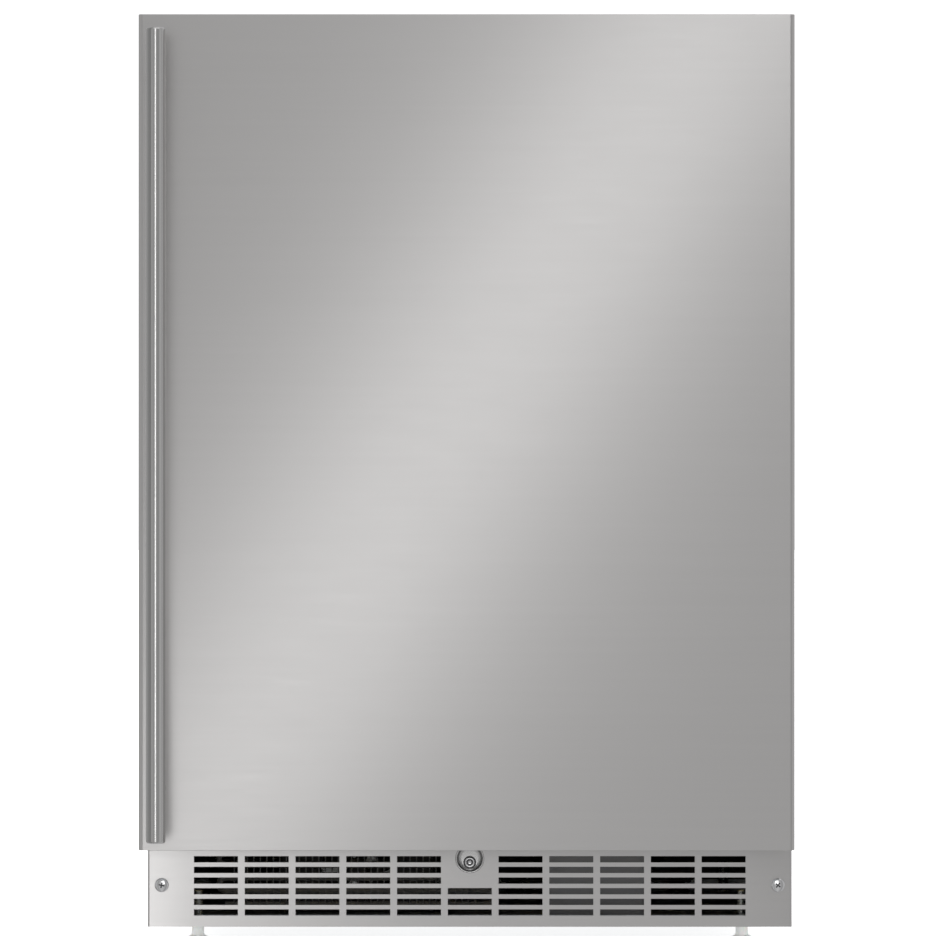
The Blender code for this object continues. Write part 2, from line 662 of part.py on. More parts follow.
def build_door_core(half):
    """Foam, and the formed inner panel whose raised middle the foam fills."""
    left, right = CABINET_X - PLATEAU_HALF_WIDTH, CABINET_X + PLATEAU_HALF_WIDTH
    foam = prism("door_foam", door_section(half, GAP), CAP_BOTTOM + END_CAP + GAP,
                 CAP_TOP - END_CAP - GAP, "Z", "foam")
    wall = LINER + GAP
    join(foam, box("add_door_foam_middle",
                   (left + wall, DOOR_BACK - 0.01, PLATEAU_BOTTOM + wall),
                   (right - wall, PLATEAU_BACK - wall, PLATEAU_TOP - wall), bevel=0.003))
    edge = 0.007
    panel = box("door_liner", (-half + edge, LINER_FLANGE_FRONT, DOOR_BOTTOM + 0.0052),
                (half - edge, LINER_FLANGE_BACK, HEIGHT - 0.0055), "white_plastic")
    plateau_front = LINER_FLANGE_FRONT - 0.012
    plateau = box("add_door_plateau", (left, plateau_front, PLATEAU_BOTTOM),
                  (right, PLATEAU_BACK, PLATEAU_TOP), bevel=0.004, segments=2)
    cut(plateau, box("cut_plateau_front", (-half, plateau_front - 0.01, DOOR_BOTTOM),
                     (half, LINER_FLANGE_FRONT + 0.0006, HEIGHT)))
    join(panel, plateau)
    cut(panel, box("cut_door_plateau", (left + LINER, plateau_front - 0.01, PLATEAU_BOTTOM + LINER),
                   (right - LINER, PLATEAU_BACK - LINER, PLATEAU_TOP - LINER), bevel=0.0025))
    return [foam, panel]


def build_gasket():
    """The magnetic seal between the door's inner panel and the cabinet's face."""
    width = 0.020
    low, high = (-0.2860, 0.1250), (0.2885, 0.8630)
    front, back = LINER_FLANGE_BACK + GAP, CABINET_FRONT - GAP
    outer = rounded_outline(low, high, 0.006, 3)
    gasket = prism("door_gasket", outer, front, back, "Y", "rubber")
    inner_low = (low[0] + width, low[1] + width)
    inner_high = (high[0] - width, high[1] - width)
    cut(gasket, prism("cut_gasket", rounded_outline(inner_low, inner_high, 0.004, 3),
                      front - 0.01, back + 0.01, "Y"))
    return gasket


def build_handle():
    """A full-height round rail on two short posts."""
    crown = 0.004
    ends = [(HANDLE_RADIUS - crown + crown * math.sin(math.radians(t)),
             crown * math.cos(math.radians(t))) for t in (0, 30, 60, 90)]
    top = [(radius, HANDLE_TOP - crown + rise) for radius, rise in ends]
    bottom = [(radius, HANDLE_BOTTOM + crown - rise) for radius, rise in reversed(ends)]
    profile = [(0.0, HANDLE_TOP)] + top + bottom + [(0.0, HANDLE_BOTTOM)]
    rail = turned("handle_tube", (HANDLE_X, HANDLE_Y, 0.0), profile, "+Z", 28, "polished_steel")
    saddle = cylinder("cut_handle_saddle", (HANDLE_X, HANDLE_Y, HEIGHT / 2),
                      HANDLE_RADIUS + GAP, HEIGHT, sides=28)
    posts = []
    for name, z in POST_HEIGHTS.items():
        front, back = HANDLE_Y, DOOR_FRONT - GAP
        post = cylinder(name, (HANDLE_X, (front + back) / 2, z), POST_RADIUS, back - front, "-Y",
                        20, "polished_steel")
        cut(post, saddle)
        posts.append(post)
    return [rail] + posts


def build_catch_plate():
    """The plate under the door that the lock's cam comes up through."""
    plate = box("lock_catch_plate", (-0.030, HINGE_ARM_FRONT, CAP_BOTTOM - 0.0023),
                (0.022, -0.188, CAP_BOTTOM - 0.0006), "zinc")
    cut(plate, box("cut_catch_slot", (-0.018, -0.2035, CAP_BOTTOM - 0.01),
                   (0.010, -0.1930, CAP_BOTTOM + 0.01)))
    return plate


def build_door_bins():
    for name, bottom in BIN_BOTTOMS.items():
        front = PLATEAU_BACK + GAP
        left, right = CABINET_X - BIN_HALF_WIDTH, CABINET_X + BIN_HALF_WIDTH
        tray = open_tray(name, (left, front, bottom), (right, BIN_BACK, bottom + BIN_HEIGHT),
                         BIN_WALL, 0.005, "clear_plastic")
        group(f"{name}_lift", (CABINET_X, front, bottom), [tray])


# ---- inside the cold room ----
def build_shelves():
    left = CABINET_X - ROOM_HALF_WIDTH + 0.0016
    right = CABINET_X + ROOM_HALF_WIDTH - 0.0016
    for name, z in SHELF_HEIGHTS.items():
        shelf = box(name, (left, SHELF_FRONT + 0.002, z), (right, SHELF_REAR, z + SHELF_GLASS),
                    "glass")
        join(shelf, box(f"add_{name}_trim", (left, SHELF_FRONT, z - 0.007),
                        (right, SHELF_FRONT + 0.012, z + SHELF_GLASS + 0.003), bevel=0.0015))
        group(f"{name}_slide", (CABINET_X, SHELF_FRONT, z), [shelf])
    cover = box("crisper_cover", (left, SHELF_FRONT + 0.002, COVER_Z),
                (right, ROOM_REAR - 0.004, COVER_Z + SHELF_GLASS), "glass")
    join(cover, box("add_crisper_cover_trim", (left, SHELF_FRONT, COVER_Z - 0.007),
                    (right, SHELF_FRONT + 0.012, COVER_Z + SHELF_GLASS + 0.003), bevel=0.0015))


def build_crisper():
    left, right = CABINET_X - CRISPER_HALF_WIDTH, CABINET_X + CRISPER_HALF_WIDTH
    drawer = open_tray("crisper_drawer", (left, CRISPER_FRONT, CRISPER_BOTTOM),
                       (right, CRISPER_REAR, CRISPER_TOP), CRISPER_WALL, 0.006, "clear_plastic")
    join(drawer, box("add_crisper_grip", (CABINET_X - 0.120, CRISPER_FRONT - 0.010,
                                          CRISPER_TOP - 0.018),
                     (CABINET_X + 0.120, CRISPER_FRONT + 0.0012, CRISPER_TOP - 0.006)))
    group("crisper_slide", (CABINET_X, CRISPER_FRONT, CRISPER_BOTTOM), [drawer])


def build_controls():
    """The ceiling housing with its temperature knob, light button and lamp cover."""
    left, right = CABINET_X - CONTROL_HALF_WIDTH, CABINET_X + CONTROL_HALF_WIDTH
    housing = box("control_housing", (left, CONTROL_FRONT, CONTROL_BOTTOM),
                  (right, CONTROL_REAR, ROOM_TOP - GAP), "white_plastic", bevel=0.003)
    lens_left, lens_right = -0.022, 0.042
    lens_front, lens_rear = CONTROL_FRONT + 0.014, CONTROL_REAR - 0.014
    cut(housing, box("cut_lamp_pocket", (lens_left, lens_front, CONTROL_BOTTOM - 0.01),
                     (lens_right, lens_rear, CONTROL_BOTTOM + 0.010)))
    shaft, button = 0.003, 0.007
    cut(housing, cylinder("cut_knob_shaft", (KNOB_X, CONTROL_Y, CONTROL_BOTTOM), shaft + GAP,
                          0.030, sides=16),
        cylinder("cut_button_bore", (BUTTON_X, CONTROL_Y, CONTROL_BOTTOM), button + GAP,
                 0.024, sides=20))
    box("lamp_cover", (lens_left + GAP, lens_front + GAP, CONTROL_BOTTOM - 0.004),
        (lens_right - GAP, lens_rear - GAP, CONTROL_BOTTOM + 0.006), "clear_plastic", bevel=0.002)
    low = CONTROL_BOTTOM
    knob = turned("temperature_knob", (KNOB_X, CONTROL_Y, 0.0), [
        (0.0, low + 0.010), (shaft, low + 0.010), (shaft, low - 0.0006), (0.0150, low - 0.0006),
        (0.0155, low - 0.0100), (0.0145, low - 0.0120), (0.0, low - 0.0120),
    ], "+Z", 24, "grey_plastic")
    cut(knob, box("cut_knob_mark", (KNOB_X - 0.0006, CONTROL_Y - 0.0135, low - 0.013),
                  (KNOB_X + 0.0006, CONTROL_Y - 0.0060, low - 0.0114)))
    group("temperature_turn", (KNOB_X, CONTROL_Y, low), [knob])
    press = turned("light_button", (BUTTON_X, CONTROL_Y, 0.0), [
        (0.0, low + 0.0070), (button, low + 0.0070), (button, low - 0.0035),
        (button - 0.0008, low - 0.0043), (0.0, low - 0.0046),
    ], "+Z", 20, "grey_plastic")
    group("light_press", (BUTTON_X, CONTROL_Y, low), [press])


def fan_blades(name, at, radius, hub, depth, blades, finish):
    """A hub along Y with pitched blades around it."""
    fan = cylinder(name, at, hub, depth, "-Y", 20, finish)
    for index in range(blades):
        turn = math.tau * index / blades
        mesh = box_mesh(f"add_{name}_{index}", [
            ((hub * 0.7, -0.0008, -radius * 0.26), (radius, 0.0008, radius * 0.26))])
        blade = place(f"add_{name}_{index}", mesh)
        pitch = Matrix.Rotation(math.radians(28), 4, "X")
        blade.matrix_world = Matrix.Translation(at) @ Matrix.Rotation(turn, 4, "Y") @ pitch
        join(fan, blade)
    return fan


def serpentine(middle_x, half_length, y, low, pitch, passes, bend_steps=5):
    """Points of a coil that runs to and fro along X while it climbs."""
    route = []
    for index in range(passes):
        height = low + pitch * index
        side = 1 if index % 2 == 0 else -1
        route.append((middle_x - side * half_length, y, height))
        if index == passes - 1:
            route.append((middle_x + side * half_length, y, height))
            continue
        for across, up in arc((0.0, 0.0), pitch / 2, -90, 90, bend_steps):
            route.append((middle_x + side * (half_length + across), y, height + pitch / 2 + up))
    return route


def remove_repeats(route):
    kept = [route[0]]
    for point in route[1:]:
        if (Vector(point) - Vector(kept[-1])).length > 0.0005:
            kept.append(point)
    return kept


def build_cold_air():
    """Evaporator, its fan and the duct cover on the rear wall of the cold room."""
    left, right = CABINET_X - DUCT_HALF_WIDTH, CABINET_X + DUCT_HALF_WIDTH
    cover = box("evaporator_cover", (left, DUCT_FRONT, DUCT_BOTTOM),
                (right, ROOM_REAR - GAP, DUCT_TOP), "white_plastic", bevel=0.004)
    wall = 0.002
    cut(cover, box("cut_duct", (left + wall, DUCT_FRONT + wall, DUCT_BOTTOM + wall),
                   (right - wall, ROOM_REAR + 0.01, DUCT_TOP - wall)))
    vents = []
    for row in range(-3, 4):
        z = COLD_FAN_Z + 0.011 * row
        half = math.sqrt(0.042 ** 2 - (0.011 * row) ** 2)
        vents.append(((CABINET_X - half, DUCT_FRONT - 0.01, z - 0.003),
                      (CABINET_X + half, DUCT_FRONT + 0.01, z + 0.003)))
    for column in range(-3, 4):
        x = CABINET_X + 0.045 * column
        for row in range(2):
            z = DUCT_BOTTOM + 0.022 + 0.012 * row
            vents.append(((x - 0.016, DUCT_FRONT - 0.01, z - 0.003),
                          (x + 0.016, DUCT_FRONT + 0.01, z + 0.003)))
    cut(cover, boxes_cutter("cut_duct_vents", vents))
    fan_y = DUCT_FRONT + 0.014
    fan = fan_blades("evaporator_fan", (CABINET_X, fan_y, COLD_FAN_Z), COLD_FAN_RADIUS, 0.012,
                     0.010, 5, "black_plastic")
    group("evaporator_fan_turn", (CABINET_X, fan_y, COLD_FAN_Z), [fan])
    motor_front = fan_y + 0.006
    motor = cylinder("evaporator_fan_motor", (CABINET_X, motor_front + 0.010, COLD_FAN_Z),
                     0.017, 0.020, "-Y", 20, "zinc")
    join(motor, box("add_cold_motor_strap", (CABINET_X - 0.055, motor_front + 0.017, COLD_FAN_Z - 0.006),
                    (CABINET_X + 0.055, motor_front + 0.0195, COLD_FAN_Z + 0.006)))
    route = serpentine(CABINET_X, 0.150, 0.248, DUCT_BOTTOM + 0.060, 0.026, 6)
    tube("evaporator_coil", remove_repeats(route), 0.0045, "aluminium")


# ---- machine bay ----
def build_machine_bay():
    low = CABINET_BOTTOM + 0.0012 + GAP
    box("control_box", (0.077, -0.185, low), (0.166, -0.115, 0.108), "grey_paint", bevel=0.0015)
    build_condenser(low)
    build_compressor(low)
    open_tray("drain_pan", (-0.255, 0.150, low), (-0.030, 0.250, low + 0.040), 0.002, 0.004,
              "black_plastic")


def build_condenser(low):
    """Condenser coil across the front of the bay, its fan, shroud and motor."""
    coil_y = -0.075
    route = serpentine(-0.105, 0.125, coil_y, low + 0.010, 0.0125, 6, 4)
    tube("condenser_coil", remove_repeats(route), 0.003, "black_paint")
    fan_y = -0.030
    shroud = box("condenser_shroud", (BAY_FAN_X - 0.075, fan_y - 0.012, low),
                 (BAY_FAN_X + 0.075, fan_y + 0.012, BOX_BOTTOM - 0.002), "black_plastic", bevel=0.002)
    cut(shroud, cylinder("cut_shroud_bore", (BAY_FAN_X, fan_y, BAY_FAN_Z), BAY_FAN_RADIUS + 0.002,
                         0.05, "-Y", 32))
    fan = fan_blades("condenser_fan", (BAY_FAN_X, fan_y, BAY_FAN_Z), BAY_FAN_RADIUS, 0.010,
                     0.010, 5, "black_plastic")
    group("condenser_fan_turn", (BAY_FAN_X, fan_y, BAY_FAN_Z), [fan])
    motor = cylinder("condenser_fan_motor", (BAY_FAN_X, fan_y + 0.027, BAY_FAN_Z), 0.020, 0.040,
                     "-Y", 20, "zinc")
    join(motor, box("add_bay_motor_strap", (BAY_FAN_X - 0.060, fan_y + 0.0125, BAY_FAN_Z - 0.005),
                    (BAY_FAN_X + 0.060, fan_y + 0.0150, BAY_FAN_Z + 0.005)))


def build_compressor(low):
    """Hermetic compressor on its base, with the drier and the two lines that leave it."""
    radius, bottom, top = 0.068, low + 0.011, 0.205
    dome = [(radius * math.sin(math.radians(t)), 0.030 * math.cos(math.radians(t)))
            for t in (0, 25, 50, 72, 90)]
    profile = [(r, top - 0.030 + h) for r, h in dome]
    profile += [(radius, 0.125), (radius + 0.003, 0.123), (radius + 0.003, 0.115), (radius, 0.113)]
    profile += [(r, bottom + 0.030 - h) for r, h in reversed(dome)]
    shell = turned("compressor", (COMPRESSOR_X, COMPRESSOR_Y, 0.0), profile, "+Z", 28, "black_paint")
    join(shell, box("add_terminal_cover", (COMPRESSOR_X - 0.020, COMPRESSOR_Y - 0.090, 0.100),
                    (COMPRESSOR_X + 0.020, COMPRESSOR_Y - 0.055, 0.150), bevel=0.003))
    join(shell, box("add_compressor_feet", (COMPRESSOR_X - 0.095, COMPRESSOR_Y - 0.055, low + 0.010),
                    (COMPRESSOR_X + 0.095, COMPRESSOR_Y + 0.055, low + 0.0125)))
    for side_x in (-0.082, 0.082):
        for side_y in (-0.042, 0.042):
            join(shell, cylinder(f"add_grommet_{len(shell.modifiers)}",
                                 (COMPRESSOR_X + side_x, COMPRESSOR_Y + side_y, low + 0.0055),
                                 0.009, 0.011, sides=12))
    drier_y, drier_z = 0.205, 0.120
    turned("filter_drier", (-0.150, drier_y, drier_z), [
        (0.0, 0.100), (0.004, 0.100), (0.010, 0.090), (0.010, 0.010), (0.004, 0.0), (0.0, 0.0),
    ], "+X", 16, "copper")
    side_x = COMPRESSOR_X - radius
    reach = 0.002
    tube("discharge_line", [
        (side_x - reach, COMPRESSOR_Y, 0.140), (0.020, COMPRESSOR_Y, 0.140), (-0.010, 0.220, 0.136),
        (-0.030, 0.210, 0.126), (-0.040, drier_y, drier_z), (-0.0497, drier_y, drier_z)],
        0.003, "copper")
    tube("liquid_line", [
        (-0.1503, drier_y, drier_z), (-0.185, drier_y, drier_z), (-0.210, 0.195, 0.118),
        (-0.222, 0.160, 0.110), (-0.232, 0.100, 0.100), (-0.245, 0.000, 0.095),
        (-0.250, -0.060, 0.100), (-0.245, -0.0713, 0.1045)],
        0.0025, "copper")
    tube("suction_line", [
        (side_x - reach, COMPRESSOR_Y + 0.030, 0.165), (0.040, COMPRESSOR_Y + 0.035, 0.170),
        (0.020, COMPRESSOR_Y + 0.040, 0.185), (0.010, COMPRESSOR_Y + 0.040, 0.210),
        (0.010, COMPRESSOR_Y + 0.040, BAY_TOP - GAP)],
        0.004, "copper")


# ---- feet ----
def build_feet():
    """Four levelling feet: a pad and nut on a stud that screws into the base."""
    stud, pad = FOOT_STUD_RADIUS, FOOT_PAD_RADIUS
    profile = [(0.0, FOOT_STUD_TOP), (stud - 0.001, FOOT_STUD_TOP), (stud, FOOT_STUD_TOP - 0.001),
               (stud, 0.020), (0.009, 0.020), (0.009, 0.0125), (0.013, 0.011),
               (pad - 0.001, 0.0075), (pad, 0.0065), (pad, 0.001), (pad - 0.001, 0.0), (0.0, 0.0)]
    for x in FOOT_X:
        for y in FOOT_Y:
            name = f"foot_{'front' if y < 0 else 'rear'}_{'left' if x < 0 else 'right'}"
            foot = turned(name, (x, y, 0.0), profile, "+Z", 16, "white_plastic")
            group(f"{name}_screw", (x, y, CABINET_BOTTOM), [foot])


def build_all():
    reset_scene()
    build_panels()
    build_insulation()
    build_liner()
    build_base()
    build_rear_cover()
    build_grille()
    build_lock()
    build_hinges()
    build_door()
    build_door_bins()
    build_shelves()
    build_crisper()
    build_controls()
    build_cold_air()
    build_machine_bay()
    build_feet()
    bpy.context.view_layer.update()


build_all()
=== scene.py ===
"""Looks of the undercounter refrigerator: detailed pieces, materials, light and camera."""
import math

import bmesh
import bpy
from mathutils import Matrix, Vector


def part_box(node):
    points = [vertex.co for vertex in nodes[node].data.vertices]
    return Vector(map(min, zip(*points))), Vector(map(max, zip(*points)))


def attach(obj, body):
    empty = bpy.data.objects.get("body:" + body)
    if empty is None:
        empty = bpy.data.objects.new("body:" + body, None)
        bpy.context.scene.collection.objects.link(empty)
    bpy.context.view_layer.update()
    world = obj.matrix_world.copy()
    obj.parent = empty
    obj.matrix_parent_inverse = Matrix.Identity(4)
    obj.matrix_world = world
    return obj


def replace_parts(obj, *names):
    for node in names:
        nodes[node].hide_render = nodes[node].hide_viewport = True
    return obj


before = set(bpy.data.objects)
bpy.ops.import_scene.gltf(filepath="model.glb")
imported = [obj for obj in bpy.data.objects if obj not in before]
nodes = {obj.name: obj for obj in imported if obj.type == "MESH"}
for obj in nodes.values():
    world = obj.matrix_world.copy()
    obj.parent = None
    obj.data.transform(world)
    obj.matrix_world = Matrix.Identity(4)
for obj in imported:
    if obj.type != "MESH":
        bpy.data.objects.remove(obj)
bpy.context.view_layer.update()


# ---- places read from the frame ----
def low(node):
    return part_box(node)[0]


def high(node):
    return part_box(node)[1]


def middle(node):
    return (low(node) + high(node)) / 2


def half_width(node):
    return (high(node).x - low(node).x) / 2


# ---- shader building ----
class Nodes:
    """A node tree, of a material or of the world."""

    def __init__(self, tree):
        self.tree = tree

    def node(self, kind, **settings):
        made = self.tree.nodes.new(kind)
        for key, value in settings.items():
            setattr(made, key, value)
        return made

    def link(self, source, target):
        self.tree.links.new(source, target)

    def mix_colour(self, factor, first, second):
        mix = self.node("ShaderNodeMix", data_type="RGBA")
        self.link(factor, mix.inputs["Factor"])
        ends = [i for i in mix.inputs if i.type == "RGBA"]
        for target, value in zip(ends, (first, second)):
            if isinstance(value, tuple):
                target.default_value = (*value, 1.0)
            else:
                self.link(value, target)
        return [o for o in mix.outputs if o.type == "RGBA"][0]


class Shader(Nodes):
    """One Principled material and the texture nodes that feed it."""

    def __init__(self, name, colour, roughness, metallic=0.0, **sockets):
        self.material = bpy.data.materials.new(name)
        self.material.use_nodes = True
        super().__init__(self.material.node_tree)
        self.principled = self.tree.nodes["Principled BSDF"]
        self.colour = colour
        self.roughness = roughness
        self.principled.inputs["Base Color"].default_value = (*colour, 1.0)
        self.principled.inputs["Roughness"].default_value = roughness
        self.principled.inputs["Metallic"].default_value = metallic
        for socket, value in sockets.items():
            self.principled.inputs[socket.replace("_", " ")].default_value = value
        self.heights = []

    def place(self, stretch=(1.0, 1.0, 1.0)):
        """Object coordinates in metres, stretched per axis."""
        coordinates = self.node("ShaderNodeTexCoord")
        mapping = self.node("ShaderNodeMapping")
        mapping.inputs["Scale"].default_value = stretch
        self.link(coordinates.outputs["Object"], mapping.inputs["Vector"])
        return mapping.outputs["Vector"]

    def noise(self, scale, detail=3.0, stretch=(1.0, 1.0, 1.0)):
        texture = self.node("ShaderNodeTexNoise")
        texture.inputs["Scale"].default_value = scale
        texture.inputs["Detail"].default_value = detail
        texture.inputs["Roughness"].default_value = 0.55
        self.link(self.place(stretch), texture.inputs["Vector"])
        return texture.outputs["Fac"]

    def voronoi(self, scale, stretch=(1.0, 1.0, 1.0), feature="F1", output="Distance"):
        texture = self.node("ShaderNodeTexVoronoi", feature=feature)
        texture.inputs["Scale"].default_value = scale
        self.link(self.place(stretch), texture.inputs["Vector"])
        return texture.outputs[output]

    def spread(self, factor, bottom, top, start=0.3, end=0.7):
        """Map a factor from start..end to bottom..top."""
        remap = self.node("ShaderNodeMapRange")
        for socket, value in (("From Min", start), ("From Max", end),
                              ("To Min", bottom), ("To Max", top)):
            remap.inputs[socket].default_value = value
        self.link(factor, remap.inputs["Value"])
        return remap.outputs["Result"]

    def vary_colour(self, factor, amount, start=0.3, end=0.7):
        """Lighten and darken the base colour a little along a factor."""
        darker = tuple(c * (1.0 - amount) for c in self.colour)
        lighter = tuple(min(1.0, c * (1.0 + amount)) for c in self.colour)
        result = self.mix_colour(self.spread(factor, 0.0, 1.0, start, end), darker, lighter)
        self.link(result, self.principled.inputs["Base Color"])

    def vary_roughness(self, factor, amount, start=0.3, end=0.7):
        result = self.spread(factor, self.roughness - amount, self.roughness + amount, start, end)
        self.link(result, self.principled.inputs["Roughness"])

    def bump(self, factor, strength, distance):
        """Add a height to the surface; each one builds on those before it."""
        bump = self.node("ShaderNodeBump")
        bump.inputs["Strength"].default_value = strength
        bump.inputs["Distance"].default_value = distance
        self.link(factor, bump.inputs["Height"])
        if self.heights:
            self.link(self.heights[-1].outputs["Normal"], bump.inputs["Normal"])
        self.heights.append(bump)
        self.link(bump.outputs["Normal"], self.principled.inputs["Normal"])

    def worn_edges(self, tint, amount, radius=0.0015):
        """Tint convex edges, where a finish wears first."""
        bevel = self.node("ShaderNodeBevel", samples=4)
        bevel.inputs["Radius"].default_value = radius
        geometry = self.node("ShaderNodeNewGeometry")
        dot = self.node("ShaderNodeVectorMath", operation="DOT_PRODUCT")
        self.link(bevel.outputs["Normal"], dot.inputs[0])
        self.link(geometry.outputs["Normal"], dot.inputs[1])
        edge = self.spread(dot.outputs["Value"], amount, 0.0, 0.75, 0.98)
        source = self.principled.inputs["Base Color"]
        base = source.links[0].from_socket if source.links else self.colour
        self.link(self.mix_colour(edge, base, tint), source)


STAINLESS = (0.60, 0.59, 0.585)
ALONG_X, ALONG_Z = (1.0, 60.0, 60.0), (60.0, 60.0, 1.0)       # how a grain is stretched


def brushed_steel(name, colour, roughness, grain=ALONG_X):
    """Sheet with a fine directional grain and a faint waviness."""
    shader = Shader(name, colour, roughness, 1.0)
    fine = shader.noise(22.0, 2.0, grain)
    shader.vary_colour(shader.noise(3.5, 3.0, grain), 0.007)
    shader.vary_roughness(fine, 0.02)
    shader.bump(fine, 0.018, 0.0002)
    shader.bump(shader.noise(3.0, 2.0), 0.006, 0.004)
    return shader.material


def polished_steel():
    shader = Shader("polished_handle_steel", (0.62, 0.615, 0.61), 0.13, 1.0)
    grain = shader.noise(40.0, 2.0, (30.0, 30.0, 1.0))
    shader.vary_roughness(grain, 0.03)
    shader.bump(grain, 0.03, 0.0001)
    shader.vary_colour(shader.noise(5.0), 0.015)
    return shader.material


def chrome():
    shader = Shader("chrome_plate", (0.80, 0.80, 0.81), 0.09, 1.0)
    shader.vary_roughness(shader.noise(300.0), 0.03)
    shader.bump(shader.noise(900.0), 0.05, 0.00005)
    return shader.material


def lock_dish_steel():
    shader = Shader("lock_dish_steel", (0.66, 0.655, 0.65), 0.24, 1.0)
    rings = shader.noise(60.0, 2.0)
    shader.vary_roughness(rings, 0.04)
    shader.vary_colour(rings, 0.03)
    return shader.material


def galvanised():
    shader = Shader("galvanised_sheet", (0.55, 0.57, 0.59), 0.38, 1.0)
    spangle = shader.voronoi(95.0, output="Color")
    shader.vary_colour(spangle, 0.14, 0.1, 0.9)
    shader.vary_roughness(shader.voronoi(60.0, output="Color"), 0.10, 0.1, 0.9)
    shader.bump(shader.voronoi(95.0, feature="DISTANCE_TO_EDGE"), 0.04, 0.0002)
    shader.bump(shader.noise(1400.0), 0.05, 0.0001)
    return shader.material


def zinc_plate():
    shader = Shader("zinc_plated_steel", (0.60, 0.61, 0.60), 0.30, 1.0)
    shader.vary_colour(shader.noise(45.0, 4.0), 0.10)
    shader.vary_roughness(shader.noise(180.0), 0.08)
    shader.bump(shader.noise(900.0), 0.10, 0.0001)
    shader.worn_edges((0.72, 0.72, 0.71), 0.5, 0.0006)
    return shader.material


def bright_metal(name, colour, roughness, stain):
    """Copper or aluminium tube and fin stock, with a patchy stain."""
    shader = Shader(name, colour, roughness, 1.0)
    patches = shader.spread(shader.noise(38.0, 5.0), 0.0, 1.0, 0.42, 0.72)
    shader.link(shader.mix_colour(patches, colour, stain), shader.principled.inputs["Base Color"])
    shader.vary_roughness(shader.noise(210.0), 0.09)
    shader.bump(shader.noise(1200.0), 0.06, 0.0001)
    return shader.material


def powder_coat(name, colour, roughness, grain=520.0, strength=0.22, scuff=(0.18, 0.18, 0.18),
                clouds=0.10):
    """Baked paint with orange peel, a broken sheen and lighter edges."""
    shader = Shader(name, colour, roughness, 0.0, Coat_Weight=0.12, Coat_Roughness=0.35)
    shader.vary_colour(shader.noise(9.0, 4.0), clouds)
    shader.vary_roughness(shader.noise(grain * 0.4), 0.07)
    shader.bump(shader.noise(grain, 2.0), strength, 0.0003)
    shader.worn_edges(scuff, 0.45, 0.0008)
    return shader.material


def moulded(name, colour, roughness, grain=900.0, strength=0.10, subsurface=0.0):
    """Injection-moulded or vacuum-formed plastic with a fine texture."""
    shader = Shader(name, colour, roughness, 0.0, IOR=1.49)
    if subsurface:
        shader.principled.inputs["Subsurface Weight"].default_value = subsurface
        shader.principled.inputs["Subsurface Scale"].default_value = 0.002
    shader.vary_colour(shader.noise(5.0, 2.0), 0.012)
    shader.vary_roughness(shader.noise(9.0, 2.0), 0.03)
    shader.bump(shader.noise(grain, 2.0), strength, 0.0001)
    return shader.material


def see_through(name, tint, roughness, ior, grain):
    """Clear plastic or glass, with faint smears."""
    shader = Shader(name, tint, roughness, 0.0, IOR=ior, Transmission_Weight=1.0)
    smears = shader.noise(14.0, 5.0, (1.0, 1.0, 2.5))
    shader.link(shader.spread(smears, roughness, roughness + 0.07, 0.5, 0.8),
                shader.principled.inputs["Roughness"])
    shader.vary_colour(shader.noise(5.0), 0.015)
    shader.bump(shader.noise(grain), 0.03, 0.0002)
    return shader.material


def frosted_lamp():
    shader = Shader("frosted_lamp_lens", (0.93, 0.93, 0.90), 0.45, 0.0, IOR=1.49,
                    Transmission_Weight=0.35)
    shader.principled.inputs["Emission Color"].default_value = (1.0, 0.93, 0.80, 1.0)
    shader.principled.inputs["Emission Strength"].default_value = 0.7
    shader.vary_colour(shader.noise(60.0), 0.04)
    shader.vary_roughness(shader.noise(300.0), 0.08)
    ribs = shader.voronoi(1.0, (260.0, 1.0, 1.0))
    shader.bump(ribs, 0.4, 0.0004)
    return shader.material


def soft_rubber():
    shader = Shader("gasket_rubber", (0.055, 0.055, 0.057), 0.55)
    shader.vary_colour(shader.noise(25.0, 4.0), 0.20)
    shader.vary_roughness(shader.noise(120.0), 0.10)
    shader.bump(shader.noise(800.0), 0.12, 0.0002)
    return shader.material


def rigid_foam():
    shader = Shader("polyurethane_foam", (0.72, 0.62, 0.36), 0.9)
    cells = shader.voronoi(600.0)
    shader.vary_colour(cells, 0.18, 0.0, 0.8)
    shader.vary_roughness(shader.noise(100.0), 0.06)
    shader.bump(cells, 0.6, 0.0006)
    return shader.material


made_materials = {}


